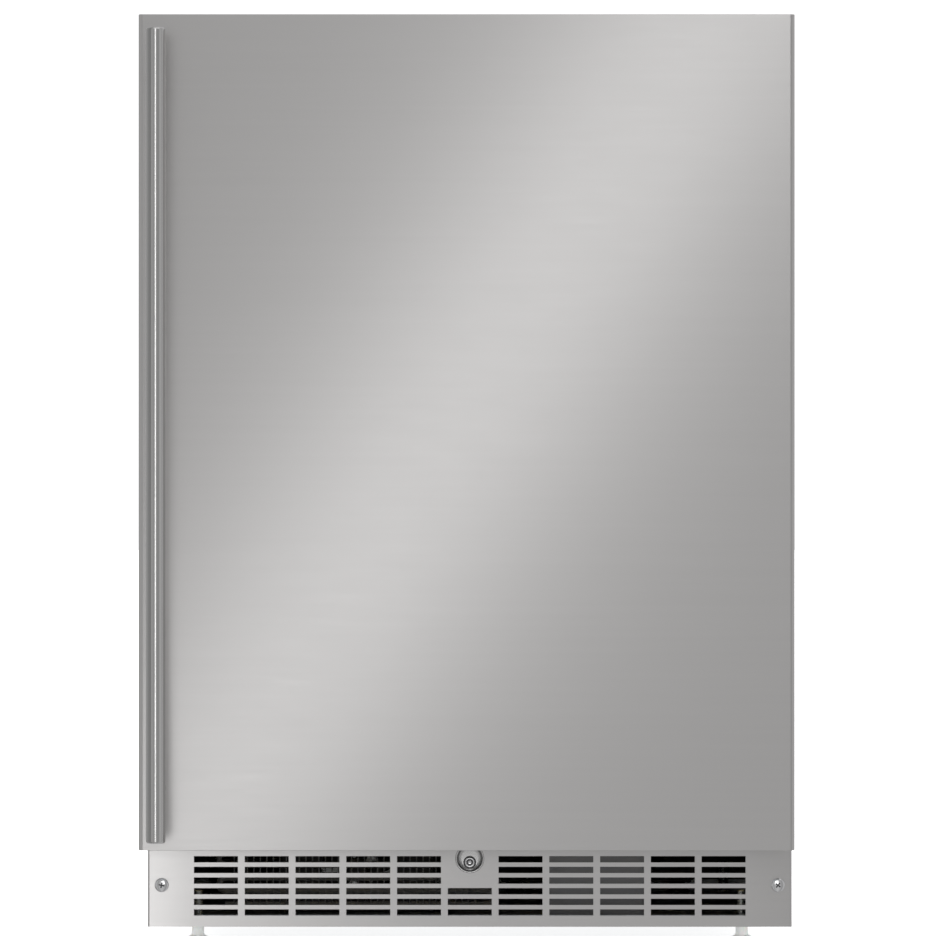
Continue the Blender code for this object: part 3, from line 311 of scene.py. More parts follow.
def material(kind):
    """One shared material of each kind."""
    if kind not in made_materials:
        made_materials[kind] = {
            "galvanised": galvanised,
            "door_steel": lambda: brushed_steel("door_brushed_steel", STAINLESS, 0.30),
            "grille_steel": lambda: brushed_steel("grille_brushed_steel", STAINLESS, 0.32),
            "hem_steel": lambda: brushed_steel("hem_brushed_steel", STAINLESS, 0.32, ALONG_Z),
            "trim": lambda: brushed_steel("satin_aluminium_trim", (0.74, 0.75, 0.76), 0.30),
            "lock_dish": lock_dish_steel,
            "zinc": zinc_plate,
            "polished": polished_steel,
            "chrome": chrome,
            "aluminium": lambda: bright_metal("mill_aluminium", (0.78, 0.79, 0.80), 0.30,
                                              (0.60, 0.61, 0.62)),
            "copper": lambda: bright_metal("drawn_copper", (0.86, 0.44, 0.29), 0.26,
                                           (0.42, 0.20, 0.13)),
            "black_paint": lambda: powder_coat("black_powder_coat", (0.022, 0.022, 0.023), 0.42),
            "gloss_black": lambda: powder_coat("compressor_enamel", (0.012, 0.012, 0.013), 0.22,
                                               180.0, 0.12),
            "satin_black": lambda: powder_coat("condenser_enamel", (0.12, 0.12, 0.125), 0.40,
                                               300.0, 0.12),
            "grey_paint": lambda: powder_coat("grey_powder_coat", (0.31, 0.31, 0.31), 0.45,
                                              scuff=(0.5, 0.5, 0.5), clouds=0.03),
            "dark_grey_paint": lambda: powder_coat("dark_grey_powder_coat", (0.095, 0.096, 0.10),
                                                   0.5, scuff=(0.3, 0.3, 0.3)),
            "white_plastic": lambda: moulded("white_liner_plastic", (0.76, 0.77, 0.76), 0.30,
                                             1300.0, 0.10, 0.03),
            "nylon": lambda: moulded("natural_nylon", (0.86, 0.86, 0.84), 0.35, 500.0, 0.06, 0.1),
            "grey_plastic": lambda: moulded("grey_abs", (0.33, 0.34, 0.35), 0.42),
            "black_plastic": lambda: moulded("black_polypropylene", (0.042, 0.042, 0.044), 0.45),
            "clear_plastic": lambda: see_through("clear_styrene", (0.93, 0.96, 0.97), 0.03, 1.49,
                                                 60.0),
            "glass": lambda: see_through("tempered_glass", (0.90, 0.97, 0.94), 0.01, 1.52, 8.0),
            "lamp": frosted_lamp,
            "rubber": soft_rubber,
            "foam": rigid_foam,
        }[kind]()
    return made_materials[kind]


def dress(kind, *names, edge=0.0, segments=2):
    """Give carried-over nodes their finish, and soften their edges where asked."""
    for name in names:
        node = nodes[name]
        for slot in node.material_slots:
            slot.material = material(kind)
        if edge:
            round_edges(node, edge, segments)


# ---- geometry building ----
def finish_mesh(name, shape, kind, body, smooth=32.0):
    """Turn a bmesh into a piece of one kind of material that rides on a body."""
    bmesh.ops.remove_doubles(shape, verts=shape.verts, dist=0.0000005)
    bmesh.ops.recalc_face_normals(shape, faces=shape.faces)
    mesh = bpy.data.meshes.new(name)
    shape.to_mesh(mesh)
    shape.free()
    mesh.shade_smooth()
    mesh.set_sharp_from_angle(angle=math.radians(smooth))
    piece = bpy.data.objects.new(name, mesh)
    bpy.context.scene.collection.objects.link(piece)
    mesh.materials.append(material(kind))
    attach(piece, body)
    return piece


def round_edges(piece, width, segments=2):
    bevel = piece.modifiers.new("edges", "BEVEL")
    bevel.width = width
    bevel.segments = segments
    bevel.limit_method = "ANGLE"
    bevel.angle_limit = math.radians(40.0)
    bevel.harden_normals = True
    return piece


def apply_modifiers(piece):
    """Keep the piece's evaluated shape as its mesh."""
    bpy.context.view_layer.update()
    graph = bpy.context.evaluated_depsgraph_get()
    mesh = bpy.data.meshes.new_from_object(piece.evaluated_get(graph))
    piece.modifiers.clear()
    old = piece.data
    piece.data = mesh
    bpy.data.meshes.remove(old)


def combine(piece, shape, operation):
    """Cut or join a piece with a throw-away bmesh solid."""
    bmesh.ops.recalc_face_normals(shape, faces=shape.faces)
    mesh = bpy.data.meshes.new("tool")
    shape.to_mesh(mesh)
    shape.free()
    tool = bpy.data.objects.new("tool", mesh)
    bpy.context.scene.collection.objects.link(tool)
    boolean = piece.modifiers.new("combine", "BOOLEAN")
    boolean.operation = operation
    boolean.solver = "EXACT"
    boolean.object = tool
    apply_modifiers(piece)
    bpy.data.objects.remove(tool, do_unlink=True)
    bpy.data.meshes.remove(mesh)


def add_box(shape, corner, opposite):
    centre = (Vector(corner) + Vector(opposite)) / 2
    size = Vector(opposite) - Vector(corner)
    matrix = Matrix.Translation(centre) @ Matrix.Diagonal((abs(size.x), abs(size.y), abs(size.z), 1))
    bmesh.ops.create_cube(shape, size=1.0, matrix=matrix)


def boxes(pairs):
    shape = bmesh.new()
    for corner, opposite in pairs:
        add_box(shape, corner, opposite)
    return shape


def merge(shapes):
    """Several bmeshes as one."""
    whole = bmesh.new()
    for shape in shapes:
        mesh = bpy.data.meshes.new("part")
        shape.to_mesh(mesh)
        shape.free()
        whole.from_mesh(mesh)
        bpy.data.meshes.remove(mesh)
    return whole


AXES = {
    "+Z": Matrix.Identity(4),
    "-Z": Matrix.Rotation(math.pi, 4, "X"),
    "-Y": Matrix.Rotation(math.pi / 2, 4, "X"),
    "+Y": Matrix.Rotation(-math.pi / 2, 4, "X"),
}


def lathe(profile, at, axis="+Z", steps=48, closed=False):
    """Turn (radius, height) points about an axis through a place."""
    shape = bmesh.new()
    rings = []
    for radius, height in profile:
        if radius < 1e-7:
            rings.append([shape.verts.new((0, 0, height))])
            continue
        ring = []
        for step in range(steps):
            turn = math.tau * step / steps
            ring.append(shape.verts.new((radius * math.cos(turn), radius * math.sin(turn), height)))
        rings.append(ring)
    pairs = list(zip(rings, rings[1:]))
    if closed:
        pairs.append((rings[-1], rings[0]))
    for upper, lower in pairs:
        for step in range(steps):
            after = (step + 1) % steps
            corners = []
            for ring, index in ((upper, step), (lower, step), (lower, after), (upper, after)):
                vert = ring[index] if len(ring) > 1 else ring[0]
                if vert not in corners:
                    corners.append(vert)
            if len(corners) > 2:
                shape.faces.new(corners)
    shape.transform(Matrix.Translation(at) @ AXES[axis])
    return shape


def rod(radius, bottom, top, at, axis, steps):
    return lathe([(0.0, top), (radius, top), (radius, bottom), (0.0, bottom)], at, axis, steps)


def arc(centre, radius, start, end, steps):
    turns = [math.radians(start + (end - start) * i / steps) for i in range(steps + 1)]
    return [(centre[0] + radius * math.cos(t), centre[1] + radius * math.sin(t)) for t in turns]


def extrude(outline, bottom, top, axis="Z"):
    """A solid from an outline: (x, y) for Z, (x, z) for Y, (y, z) for X."""
    shape = bmesh.new()

    def spot(u, v, depth):
        return {"Z": (u, v, depth), "Y": (u, depth, v), "X": (depth, u, v)}[axis]

    first = [shape.verts.new(spot(u, v, bottom)) for u, v in outline]
    second = [shape.verts.new(spot(u, v, top)) for u, v in outline]
    shape.faces.new(first)
    shape.faces.new(second)
    count = len(outline)
    for index in range(count):
        after = (index + 1) % count
        shape.faces.new((first[index], first[after], second[after], second[index]))
    return shape


# ---- the door's front ----
def channel_path(left, right, front, back, radius, steps):
    """The outer line of a sheet bent into a U, seen from above."""
    path = [(left, back)]
    path += arc((left + radius, front + radius), radius, 180, 270, steps)
    path += arc((right - radius, front + radius), radius, 270, 360, steps)
    path.append((right, back))
    return path


def channel(path, sheet, bottom, top):
    """A bent sheet of even thickness that follows a path."""
    inner = []
    for index, (x, y) in enumerate(path):
        before = Vector(path[max(index - 1, 0)])
        after = Vector(path[min(index + 1, len(path) - 1)])
        along = (after - before).normalized()
        inner.append((x - along.y * sheet, y + along.x * sheet))
    return extrude(path + inner[::-1], bottom, top)


def build_door_skin():
    """The bent sheet, notched at the hinge side above and below."""
    corner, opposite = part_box("door_skin")
    sheet, bend = 0.001, 0.0045
    path = channel_path(corner.x, opposite.x, corner.y, opposite.y, bend, 14)
    piece = finish_mesh("door_sheet", channel(path, sheet, corner.z, opposite.z), "door_steel",
                        "door")
    notch_front = corner.y + bend + 0.0005
    painted_recess_shade = low("door_end_cap_bottom").z - corner.z
    gaps = [((opposite.x - 0.008, notch_front, corner.z - 0.01),
             (opposite.x + 0.01, opposite.y + 0.01, corner.z + painted_recess_shade)),
            ((opposite.x - 0.008, notch_front, opposite.z - painted_recess_shade),
             (opposite.x + 0.01, opposite.y + 0.01, opposite.z + 0.01))]
    combine(piece, boxes(gaps), "DIFFERENCE")
    round_edges(piece, 0.00035)
    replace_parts(piece, "door_skin")


def build_handle():
    """A round rail with rounded ends on two posts, each cut to sit against it."""
    corner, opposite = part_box("handle_tube")
    centre = middle("handle_tube")
    radius = half_width("handle_tube")
    crown = 0.0024
    rim = arc((radius - crown, -crown), crown, 90, 0, 10)
    upper = [(0.0, opposite.z)] + [(r, opposite.z + h) for r, h in rim]
    lower = [(r, corner.z - h) for r, h in reversed(rim)] + [(0.0, corner.z)]
    tube = finish_mesh("handle_rail", lathe(upper + lower, (centre.x, centre.y, 0), steps=96),
                       "polished", "door", smooth=40)
    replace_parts(tube, "handle_tube")
    handle_pieces.append(tube)
    for end in ("top", "bottom"):
        name = f"handle_post_{end}"
        near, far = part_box(name)
        spot = middle(name)
        post = half_width(name)
        depth = far.y - near.y
        profile = [(0.0, depth), (post - 0.0004, depth), (post, depth - 0.0004), (post, 0.0035),
                   (post + 0.0016, 0.0012), (post + 0.0016, 0.0), (0.0, 0.0)]
        shape = lathe(profile, (spot.x, far.y, spot.z), "-Y", 64)
        piece = finish_mesh(f"handle_standoff_{end}", shape, "polished", "door")
        saddle = rod(radius + 0.0002, spot.z - 0.02, spot.z + 0.02, (centre.x, centre.y, 0), "+Z", 96)
        combine(piece, saddle, "DIFFERENCE")
        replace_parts(piece, name)
        handle_pieces.append(piece)


# ---- toe grille, screws and lock ----
SLOT_COLUMNS = 11
SLOT_ROWS = 6
SLOT_SIZE = (0.0409, 0.0059)
SLOT_PITCH = (0.0472, 0.0099)
TOP_ROW_BELOW_EDGE = 0.0105
ROWS_BEHIND_LOCK = 3


def build_toe_grille():
    """The punched sheet, made as a grid along its bent outline with the slots left out."""
    corner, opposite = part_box("toe_grille")
    centre_x = (corner.x + opposite.x) / 2
    sheet, bend, steps = 0.001, 0.0022, 8
    path = channel_path(corner.x, opposite.x, corner.y, opposite.y, bend, steps)
    half_w, half_h = SLOT_SIZE[0] / 2, SLOT_SIZE[1] / 2
    columns = [centre_x + (i - SLOT_COLUMNS // 2) * SLOT_PITCH[0] for i in range(SLOT_COLUMNS)]
    rows = [opposite.z - TOP_ROW_BELOW_EDGE - i * SLOT_PITCH[1] for i in range(SLOT_ROWS)]
    edges_x = sorted(x + side for x in columns for side in (-half_w, half_w))
    first_front = next(i for i, spot in enumerate(path) if abs(spot[1] - corner.y) < 1e-7)
    line = path[:first_front + 1] + [(x, corner.y) for x in edges_x] + path[first_front + 1:]
    levels = sorted({corner.z, opposite.z, *(z + side for z in rows for side in (-half_h, half_h))})
    shape = bmesh.new()
    grid = [[shape.verts.new((x, y, z)) for z in levels] for x, y in line]
    for i in range(len(line) - 1):
        mid_x = (line[i][0] + line[i + 1][0]) / 2
        on_front = abs(line[i][1] - corner.y) < 1e-7 and abs(line[i + 1][1] - corner.y) < 1e-7
        for j in range(len(levels) - 1):
            mid_z = (levels[j] + levels[j + 1]) / 2
            column = [k for k, x in enumerate(columns) if abs(mid_x - x) < half_w]
            row = [k for k, z in enumerate(rows) if abs(mid_z - z) < half_h]
            hidden = column == [SLOT_COLUMNS // 2] and row and row[0] < ROWS_BEHIND_LOCK
            if on_front and column and row and not hidden:
                continue
            shape.faces.new((grid[i][j], grid[i + 1][j], grid[i + 1][j + 1], grid[i][j + 1]))
    loose = [v for v in shape.verts if not v.link_faces]
    bmesh.ops.delete(shape, geom=loose, context="VERTS")
    piece = finish_mesh("grille_sheet", shape, "grille_steel", "cabinet", smooth=30)
    solidify = piece.modifiers.new("sheet", "SOLIDIFY")
    solidify.thickness = sheet
    solidify.offset = -1.0
    apply_modifiers(piece)
    dish = middle("lock_housing")
    radius = half_width("lock_housing")
    hole = rod(radius + 0.0002, -0.01, 0.01, (dish.x, corner.y, low("lock_housing").z + radius),
               "-Y", 64)
    combine(piece, hole, "DIFFERENCE")
    piece.data.set_sharp_from_angle(angle=math.radians(30))
    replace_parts(piece, "toe_grille")
    grille_pieces.append(piece)


def build_screw(name, node, turn):
    """A pan head with a tapered cross recess, darkened inside by a black sheet of painted shade."""
    spot = middle(node)
    radius = half_width(node)
    crown = low("toe_grille").y - low(node).y
    dome = [(radius * math.sin(math.radians(t)),
             0.0007 + (crown - 0.0007) * math.cos(math.radians(t))) for t in range(0, 91, 9)]
    profile = dome + [(radius - 0.0002, 0.0002), (0.0021, 0.0), (0.0021, -0.012), (0.0, -0.014)]
    shape = lathe(profile, (spot.x, low("toe_grille").y - 0.0002, spot.z), "-Y", 64)
    piece = finish_mesh(name, shape, "chrome", "cabinet")
    face = low("toe_grille").y - 0.0002 - crown
    arm, half = 0.0031, 0.0007
    cross = []
    for c, d in ((1, 0), (0, 1), (-1, 0), (0, -1)):
        cross += [(c * u - d * v, d * u + c * v) for u, v in ((arm, -half), (arm, half), (half, half))]
    seat = Matrix.Translation((spot.x, face, spot.z)) @ Matrix.Rotation(math.radians(turn), 4, "Y")
    painted_recess_shade = extrude(cross, -0.0006, 0.0019, "Y")
    for vert in painted_recess_shade.verts:
        if vert.co.y > 0:
            vert.co.x *= 0.6
            vert.co.z *= 0.6
    painted_recess_shade.transform(seat)
    combine(piece, painted_recess_shade, "DIFFERENCE")
    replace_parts(piece, node)
    # Painted shade: a thin black cross sheet at the bottom of the recess stands in for the shade inside it; it is no
    # real part.
    shade = boxes([((-0.0020, 0.0013, -0.0006), (0.0020, 0.0014, 0.0006)),
                   ((-0.0006, 0.00125, -0.0020), (0.0006, 0.00135, 0.0020))])
    shade.transform(seat)
    bottom = finish_mesh(f"{name}_recess", shade, "black_plastic", "cabinet")
    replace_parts(bottom, node)
    fittings.extend((piece, bottom))


def build_lock():
    """A shallow dish pressed into the grille, with a tubular-key cylinder in it."""
    corner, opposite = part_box("lock_housing")
    x, radius = middle("lock_housing").x, half_width("lock_housing")
    z, top = corner.z + radius, opposite.z
    face, floor = -corner.y, -opposite.y + 0.0015
    lip = [(radius - 0.0014, face - 0.0006), (radius - 0.0011, face - 0.0001),
           (radius - 0.0007, face + 0.00015), (radius - 0.0002, face + 0.0001),
           (radius, face - 0.0003)]
    bowl = arc((radius - 0.0056, floor + 0.0042), 0.0042, 0, -90, 12)
    profile = lip + [(radius, floor - 0.0015), (0.0, floor - 0.0015), (0.0, floor)]
    profile += [(r, h) for r, h in reversed(bowl)]
    dish_piece = finish_mesh("lock_dish", lathe(profile, (x, 0, z), "-Y", 96, closed=True),
                             "lock_dish", "cabinet", smooth=40)
    combine(dish_piece, boxes([((x - 0.03, -face - 0.01, top), (x + 0.03, -floor + 0.01, top + 0.02))]),
            "DIFFERENCE")
    barrel = middle("lock_cylinder")
    barrel_radius = half_width("lock_cylinder")
    bore = rod(barrel_radius + 0.0012, -0.03, 0.03, (barrel.x, -floor, barrel.z), "-Y", 64)
    combine(dish_piece, bore, "DIFFERENCE")
    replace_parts(dish_piece, "lock_housing")
    seal = lathe([(barrel_radius + 0.0002, floor + 0.0004), (barrel_radius + 0.0012, floor + 0.0002),
                  (barrel_radius + 0.0012, floor - 0.0015), (barrel_radius + 0.0002, floor - 0.0015)],
                 (barrel.x, 0, barrel.z), "-Y", 64, closed=True)
    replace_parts(finish_mesh("lock_weather_seal", seal, "rubber", "cabinet"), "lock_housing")
    front, back = -low("lock_cylinder").y, -high("lock_cylinder").y
    key = [(0.0, front - 0.0001), (0.0012, front), (0.0015, front - 0.0003), (0.0015, front - 0.0045),
           (0.0031, front - 0.0045), (0.0031, front - 0.0005), (0.0034, front - 0.0001),
           (0.0040, front), (barrel_radius - 0.0004, front - 0.0001),
           (barrel_radius, front - 0.0006), (barrel_radius, back), (0.0, back)]
    barrel_piece = finish_mesh("lock_barrel", lathe(key, (barrel.x, 0, barrel.z), "-Y", 64),
                               "chrome", "lock")
    notch = boxes([((barrel.x - 0.0006, -front - 0.001, barrel.z + 0.0026),
                    (barrel.x + 0.0006, -front + 0.003, barrel.z + 0.0042))])
    combine(barrel_piece, notch, "DIFFERENCE")
    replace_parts(barrel_piece, "lock_cylinder")
    # Painted shade: a black ring inside the key's annular groove stands in for the shade in the keyway; it is no real
    # shroud.
    shade = lathe([(0.0017, front - 0.0018), (0.0029, front - 0.0018), (0.0029, front - 0.0044),
                   (0.0017, front - 0.0044)], (barrel.x, 0, barrel.z), "-Y", 48, closed=True)
    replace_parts(finish_mesh("lock_keyway_painted_shade", shade, "black_plastic", "lock"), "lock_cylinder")
    fittings.extend((dish_piece, barrel_piece))


# ---- small fixings ----
def hex_heads(name, spots, axis, size):
    """Hexagon heads on washers, all of one row in a single piece."""
    parts = []
    for spot in spots:
        washer = lathe([(0.0, 0.0009), (size * 1.25, 0.0006), (size * 1.35, 0.0002),
                        (size * 1.35, -0.0004), (0.0, -0.0004)], spot, axis, 28)
        head = lathe([(0.0, 0.0030), (size * 0.82, 0.0030), (size, 0.0025), (size, 0.0004),
                      (0.0, 0.0004)], spot, axis, 6)
        parts += [washer, head]
    finish_mesh(name, merge(parts), "zinc", "cabinet", smooth=25)


# ---- cabinet ----
REAR_SCREW_MARGIN = 0.012
LOUVRE_COLUMNS = (-0.165, 0.0, 0.165)
LOUVRE_ROWS = 8
LOUVRE_FIRST = 0.115
LOUVRE_PITCH = 0.016


def build_cabinet():
    dress("black_paint", "side_panel_left", "side_panel_right", "top_panel", "rear_bay_cover",
          edge=0.0003)
    dress("galvanised", "back_panel", "base_pan", edge=0.0003)
    dress("grey_paint", "front_frame", edge=0.0003)
    dress("foam", "foam_insulation", "door_foam")
    dress("white_plastic", "inner_liner", edge=0.0011, segments=3)
    dress("black_plastic", "power_inlet", edge=0.0004)
    dress("zinc", "hinge_bracket_top", "hinge_bracket_bottom", "lock_catch_plate", "lock_cam",
          edge=0.0004)
    dress("polished", "hinge_pin_top", "hinge_pin_bottom", edge=0.0004)
    rear = high("back_panel").y
    margin = Vector((REAR_SCREW_MARGIN, 0, REAR_SCREW_MARGIN))
    left, _, bottom = low("back_panel") + margin
    right, _, top = high("back_panel") - margin
    spots = [(x, rear, z) for x in (left, right)
             for z in (bottom, (2 * bottom + top) / 3, (bottom + 2 * top) / 3, top)]
    spots += [((left + right) / 2, rear, z) for z in (bottom, top)]
    cover_low = low("rear_bay_cover").z + REAR_SCREW_MARGIN
    spots += [(x, rear, cover_low) for x in (left, (left + right) / 2, right)]
    hex_heads("rear_panel_screws", spots, "+Y", 0.0035)
    build_louvre_hoods(rear)
    bracket = high("hinge_bracket_top")
    heads = [(bracket.x - 0.014, -0.160, bracket.z), (bracket.x - 0.036, -0.178, bracket.z),
             (bracket.x - 0.058, -0.160, bracket.z)]
    hex_heads("hinge_screws", heads, "+Z", 0.0042)


def build_louvre_hoods(rear):
    """Pressed hoods over the slots of the rear cover."""
    middle_x = middle("rear_bay_cover").x
    outer = [(rear + 0.0045 * math.cos(math.radians(t)) - 0.0003,
              0.0090 * math.sin(math.radians(t)) - 0.0045) for t in range(0, 91, 15)]
    inner = [(rear + 0.0037 * math.cos(math.radians(t)) - 0.0003,
              0.0082 * math.sin(math.radians(t)) - 0.0045) for t in range(90, -1, -15)]
    shapes = []
    for column in LOUVRE_COLUMNS:
        for row in range(LOUVRE_ROWS):
            z = LOUVRE_FIRST + LOUVRE_PITCH * row
            hood = [(y, z + up) for y, up in outer + inner]
            x = middle_x + column
            shapes.append(extrude(hood, x - 0.0605, x + 0.0605, "X"))
            side = [(y, z + up) for y, up in outer] + [(rear - 0.0003, z - 0.0045)]
            for end in (-0.0610, 0.0602):
                shapes.append(extrude(side, x + end, x + end + 0.0008, "X"))
    finish_mesh("rear_louvre_hoods", merge(shapes), "black_paint", "cabinet",
                smooth=40)


# ---- door ----
def build_door_back():
    dress("grey_plastic", "door_end_cap_top", "door_end_cap_bottom", edge=0.0004)
    dress("white_plastic", "door_liner", edge=0.0007, segments=3)
    pin = middle("hinge_pin_top")
    bore = half_width("hinge_pin_top") + 0.0002
    for end, axis, face in (("top", "+Z", high("door_end_cap_top").z),
                            ("bottom", "-Z", low("door_end_cap_bottom").z)):
        ring = lathe([(bore, 0.0004), (bore + 0.0024, 0.0004), (bore + 0.0028, 0.0),
                      (bore + 0.0028, -0.0005), (bore, -0.0005)], (pin.x, pin.y, face), axis,
                     48, closed=True)
        finish_mesh(f"door_bush_{end}", ring, "white_plastic", "door")
    build_hems()
    build_gasket()


def build_hems():
    """The skin's two long edges, folded in to meet the inner panel."""
    corner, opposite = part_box("door_skin")
    panel_low, panel_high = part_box("door_liner")
    cap_low, cap_high = high("door_end_cap_bottom").z, low("door_end_cap_top").z
    for side, near, far in (("left", corner.x + 0.0003, panel_low.x - 0.0002),
                            ("right", panel_high.x + 0.0002, opposite.x - 0.0003)):
        fold = boxes([((near, opposite.y - 0.0001, cap_low), (far, opposite.y + 0.0006, cap_high))])
        round_edges(finish_mesh(f"door_hem_{side}", fold, "hem_steel", "door"), 0.00025, 3)


def build_gasket():
    """A bellows seal with a magnet strip, mitred and welded at its corners."""
    corner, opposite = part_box("door_gasket")
    depth = opposite.y - corner.y
    profile = [(0.0, 0.0), (20.0, 0.0), (20.0, 0.16), (18.2, 0.22), (16.6, 0.34), (15.9, 0.44),
               (17.6, 0.52), (18.6, 0.60), (18.8, 0.66), (18.8, 0.93), (18.2, 1.0), (11.6, 1.0),
               (10.9, 0.90), (9.1, 0.90), (8.4, 1.0), (1.8, 1.0), (1.2, 0.93), (1.2, 0.66),
               (1.4, 0.60), (2.4, 0.52), (4.1, 0.44), (3.4, 0.34), (1.8, 0.22), (0.0, 0.16)]
    shape = bmesh.new()
    rings = []
    for x_side, z_side in ((1, 1), (-1, 1), (-1, -1), (1, -1)):
        ring = []
        for across, deep in profile:
            inset = across / 1000
            x = corner.x + inset if x_side > 0 else opposite.x - inset
            z = corner.z + inset if z_side > 0 else opposite.z - inset
            ring.append(shape.verts.new((x, corner.y + deep * depth, z)))
        rings.append(ring)
    for index, ring in enumerate(rings):
        other = rings[(index + 1) % 4]
        for step in range(len(profile)):
            after = (step + 1) % len(profile)
            shape.faces.new((ring[step], other[step], other[after], ring[after]))
    piece = finish_mesh("door_seal", shape, "rubber", "door", smooth=50)
    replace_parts(piece, "door_gasket")


# ---- trays, shelves and controls ----
def rounded_loop(shape, corner, opposite, radius, z, steps=6):
    """A ring of vertices round a rectangle with rounded corners."""
    spots = []
    for x, y, start in ((opposite[0] - radius, opposite[1] - radius, 0),
                        (corner[0] + radius, opposite[1] - radius, 90),
                        (corner[0] + radius, corner[1] + radius, 180),
                        (opposite[0] - radius, corner[1] + radius, 270)):
        spots += arc((x, y), radius, start, start + 90, steps)
    return [shape.verts.new((x, y, z)) for x, y in spots]


def loft_tray(corner, opposite, wall, fillet, corner_radius, rim=0.0012, rim_height=0.005):
    """An open tray with rounded corners, a filleted floor and a thicker rim."""
    shape = bmesh.new()
    levels = [(fillet + rim + 0.004, corner.z)]
    for turn in range(0, 91, 18):
        t = math.radians(turn)
        levels.append((fillet * (1 - math.sin(t)) + rim, corner.z + fillet * (1 - math.cos(t))))
    levels.append((rim, opposite.z - rim_height))
    levels += [(0.0, opposite.z - rim_height + rim), (0.0, opposite.z - 0.0006),
               (0.0006, opposite.z), (wall + rim - 0.0006, opposite.z),
               (wall + rim, opposite.z - 0.0006)]
    inner = fillet - wall
    for turn in range(90, -1, -18):
        t = math.radians(turn)
        levels.append((wall + rim + inner * (1 - math.sin(t)),
                       corner.z + wall + inner * (1 - math.cos(t))))
    levels.append((wall + rim + inner + 0.004, corner.z + wall))
    rings = []
    for inset, z in levels:
        radius = max(corner_radius - inset, 0.0008)
        rings.append(rounded_loop(shape, (corner.x + inset, corner.y + inset),
                                  (opposite.x - inset, opposite.y - inset), radius, z))
    for lower, upper in zip(rings, rings[1:]):
        for index in range(len(lower)):
            after = (index + 1) % len(lower)
            shape.faces.new((lower[index], lower[after], upper[after], upper[index]))
    shape.faces.new(rings[0][::-1])
    shape.faces.new(rings[-1])
    return shape


def build_trays():
    """Three door bins with a metal trim, and the crisper drawer with its grip."""
    for level in ("lower", "middle", "upper"):
        node = f"door_bin_{level}"
        corner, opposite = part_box(node)
        tray = loft_tray(corner, opposite, 0.0022, 0.007, 0.010)
        piece = finish_mesh(f"bin_tray_{level}", tray, "clear_plastic",
                            f"bin_{level}", smooth=50)
        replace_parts(piece, node)
        face = opposite.y
        rail = extrude([(face - 0.0002, opposite.z - 0.030), (face + 0.0011, opposite.z - 0.0290),
                        (face + 0.0011, opposite.z - 0.0150), (face - 0.0002, opposite.z - 0.014)],
                       corner.x + 0.012, opposite.x - 0.012, "X")
        finish_mesh(f"bin_trim_{level}", rail, "trim", f"bin_{level}")
    corner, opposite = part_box("crisper_drawer")
    front = corner.y + 0.010
    tray = loft_tray(Vector((corner.x, front, corner.z)), opposite, 0.0026, 0.009, 0.012)
    piece = finish_mesh("crisper_tray", tray, "clear_plastic", "crisper",
                        smooth=50)
    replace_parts(piece, "crisper_drawer")
    top, centre = opposite.z - 0.006, (corner.x + opposite.x) / 2
    grip = [(front + 0.0018, top), (front - 0.0070, top), (front - 0.0092, top - 0.0010),
            (front - 0.0100, top - 0.0032), (front - 0.0100, top - 0.0120),
            (front - 0.0085, top - 0.0120), (front - 0.0080, top - 0.0040),
            (front - 0.0060, top - 0.0022), (front + 0.0018, top - 0.0022)]
    finish_mesh("crisper_grip", extrude(grip, centre - 0.120, centre + 0.120, "X"),
                "clear_plastic", "crisper")


def build_shelves():
    """Glass panes in a moulded front trim; the crisper's cover is a fixed one."""
    for node, body in (("shelf_lower", "shelf_low"), ("shelf_upper", "shelf_high"),
                       ("crisper_cover", "cabinet")):
        corner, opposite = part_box(node)
        glass_top = opposite.z - 0.003
        glass = boxes([((corner.x + 0.0004, corner.y + 0.004, glass_top - 0.004),
                        (opposite.x - 0.0004, opposite.y, glass_top))])
        pane = round_edges(finish_mesh(f"{node}_pane", glass, "glass", body), 0.0008, 3)
        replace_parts(pane, node)
        depth = 0.012
        nose = [(corner.y + 0.0030 - 0.0030 * math.sin(math.radians(t)),
                 (corner.z + opposite.z) / 2 + (opposite.z - corner.z - 0.006) / 2
                 * (1 if t < 90 else -1) + 0.0030 * math.cos(math.radians(t)))
                for t in (0, 22, 45, 67, 90, 113, 135, 158, 180)]
        trim = [(corner.y + depth, opposite.z)] + nose
        trim += [(corner.y + depth, corner.z), (corner.y + depth, corner.z + 0.0015),
                 (corner.y + 0.0055, corner.z + 0.0020), (corner.y + 0.0055, glass_top - 0.0041),
                 (corner.y + depth, glass_top - 0.0041), (corner.y + depth, glass_top - 0.0056),
                 (corner.y + 0.0068, glass_top - 0.0058), (corner.y + 0.0035, glass_top - 0.0041),
                 (corner.y + 0.0035, glass_top + 0.0001), (corner.y + depth, glass_top + 0.0001)]
        piece = finish_mesh(f"{node}_trim", extrude(trim, corner.x, opposite.x, "X"),
                            "white_plastic", body, smooth=30)
        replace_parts(piece, node)


def fluted(profile, at, flutes, depth, from_z, to_z):
    """A lathed knob whose sides are scalloped between two heights."""
    shape = lathe(profile, (0, 0, 0), "+Z", flutes * 8)
    for vert in shape.verts:
        reach = math.hypot(vert.co.x, vert.co.y)
        if reach > 0.008 and from_z <= vert.co.z <= to_z:
            turn = math.atan2(vert.co.y, vert.co.x)
            shrink = 1 - depth * (0.5 - 0.5 * math.cos(turn * flutes)) / reach
            vert.co.x *= shrink
            vert.co.y *= shrink
    shape.transform(Matrix.Translation(at))
    return shape


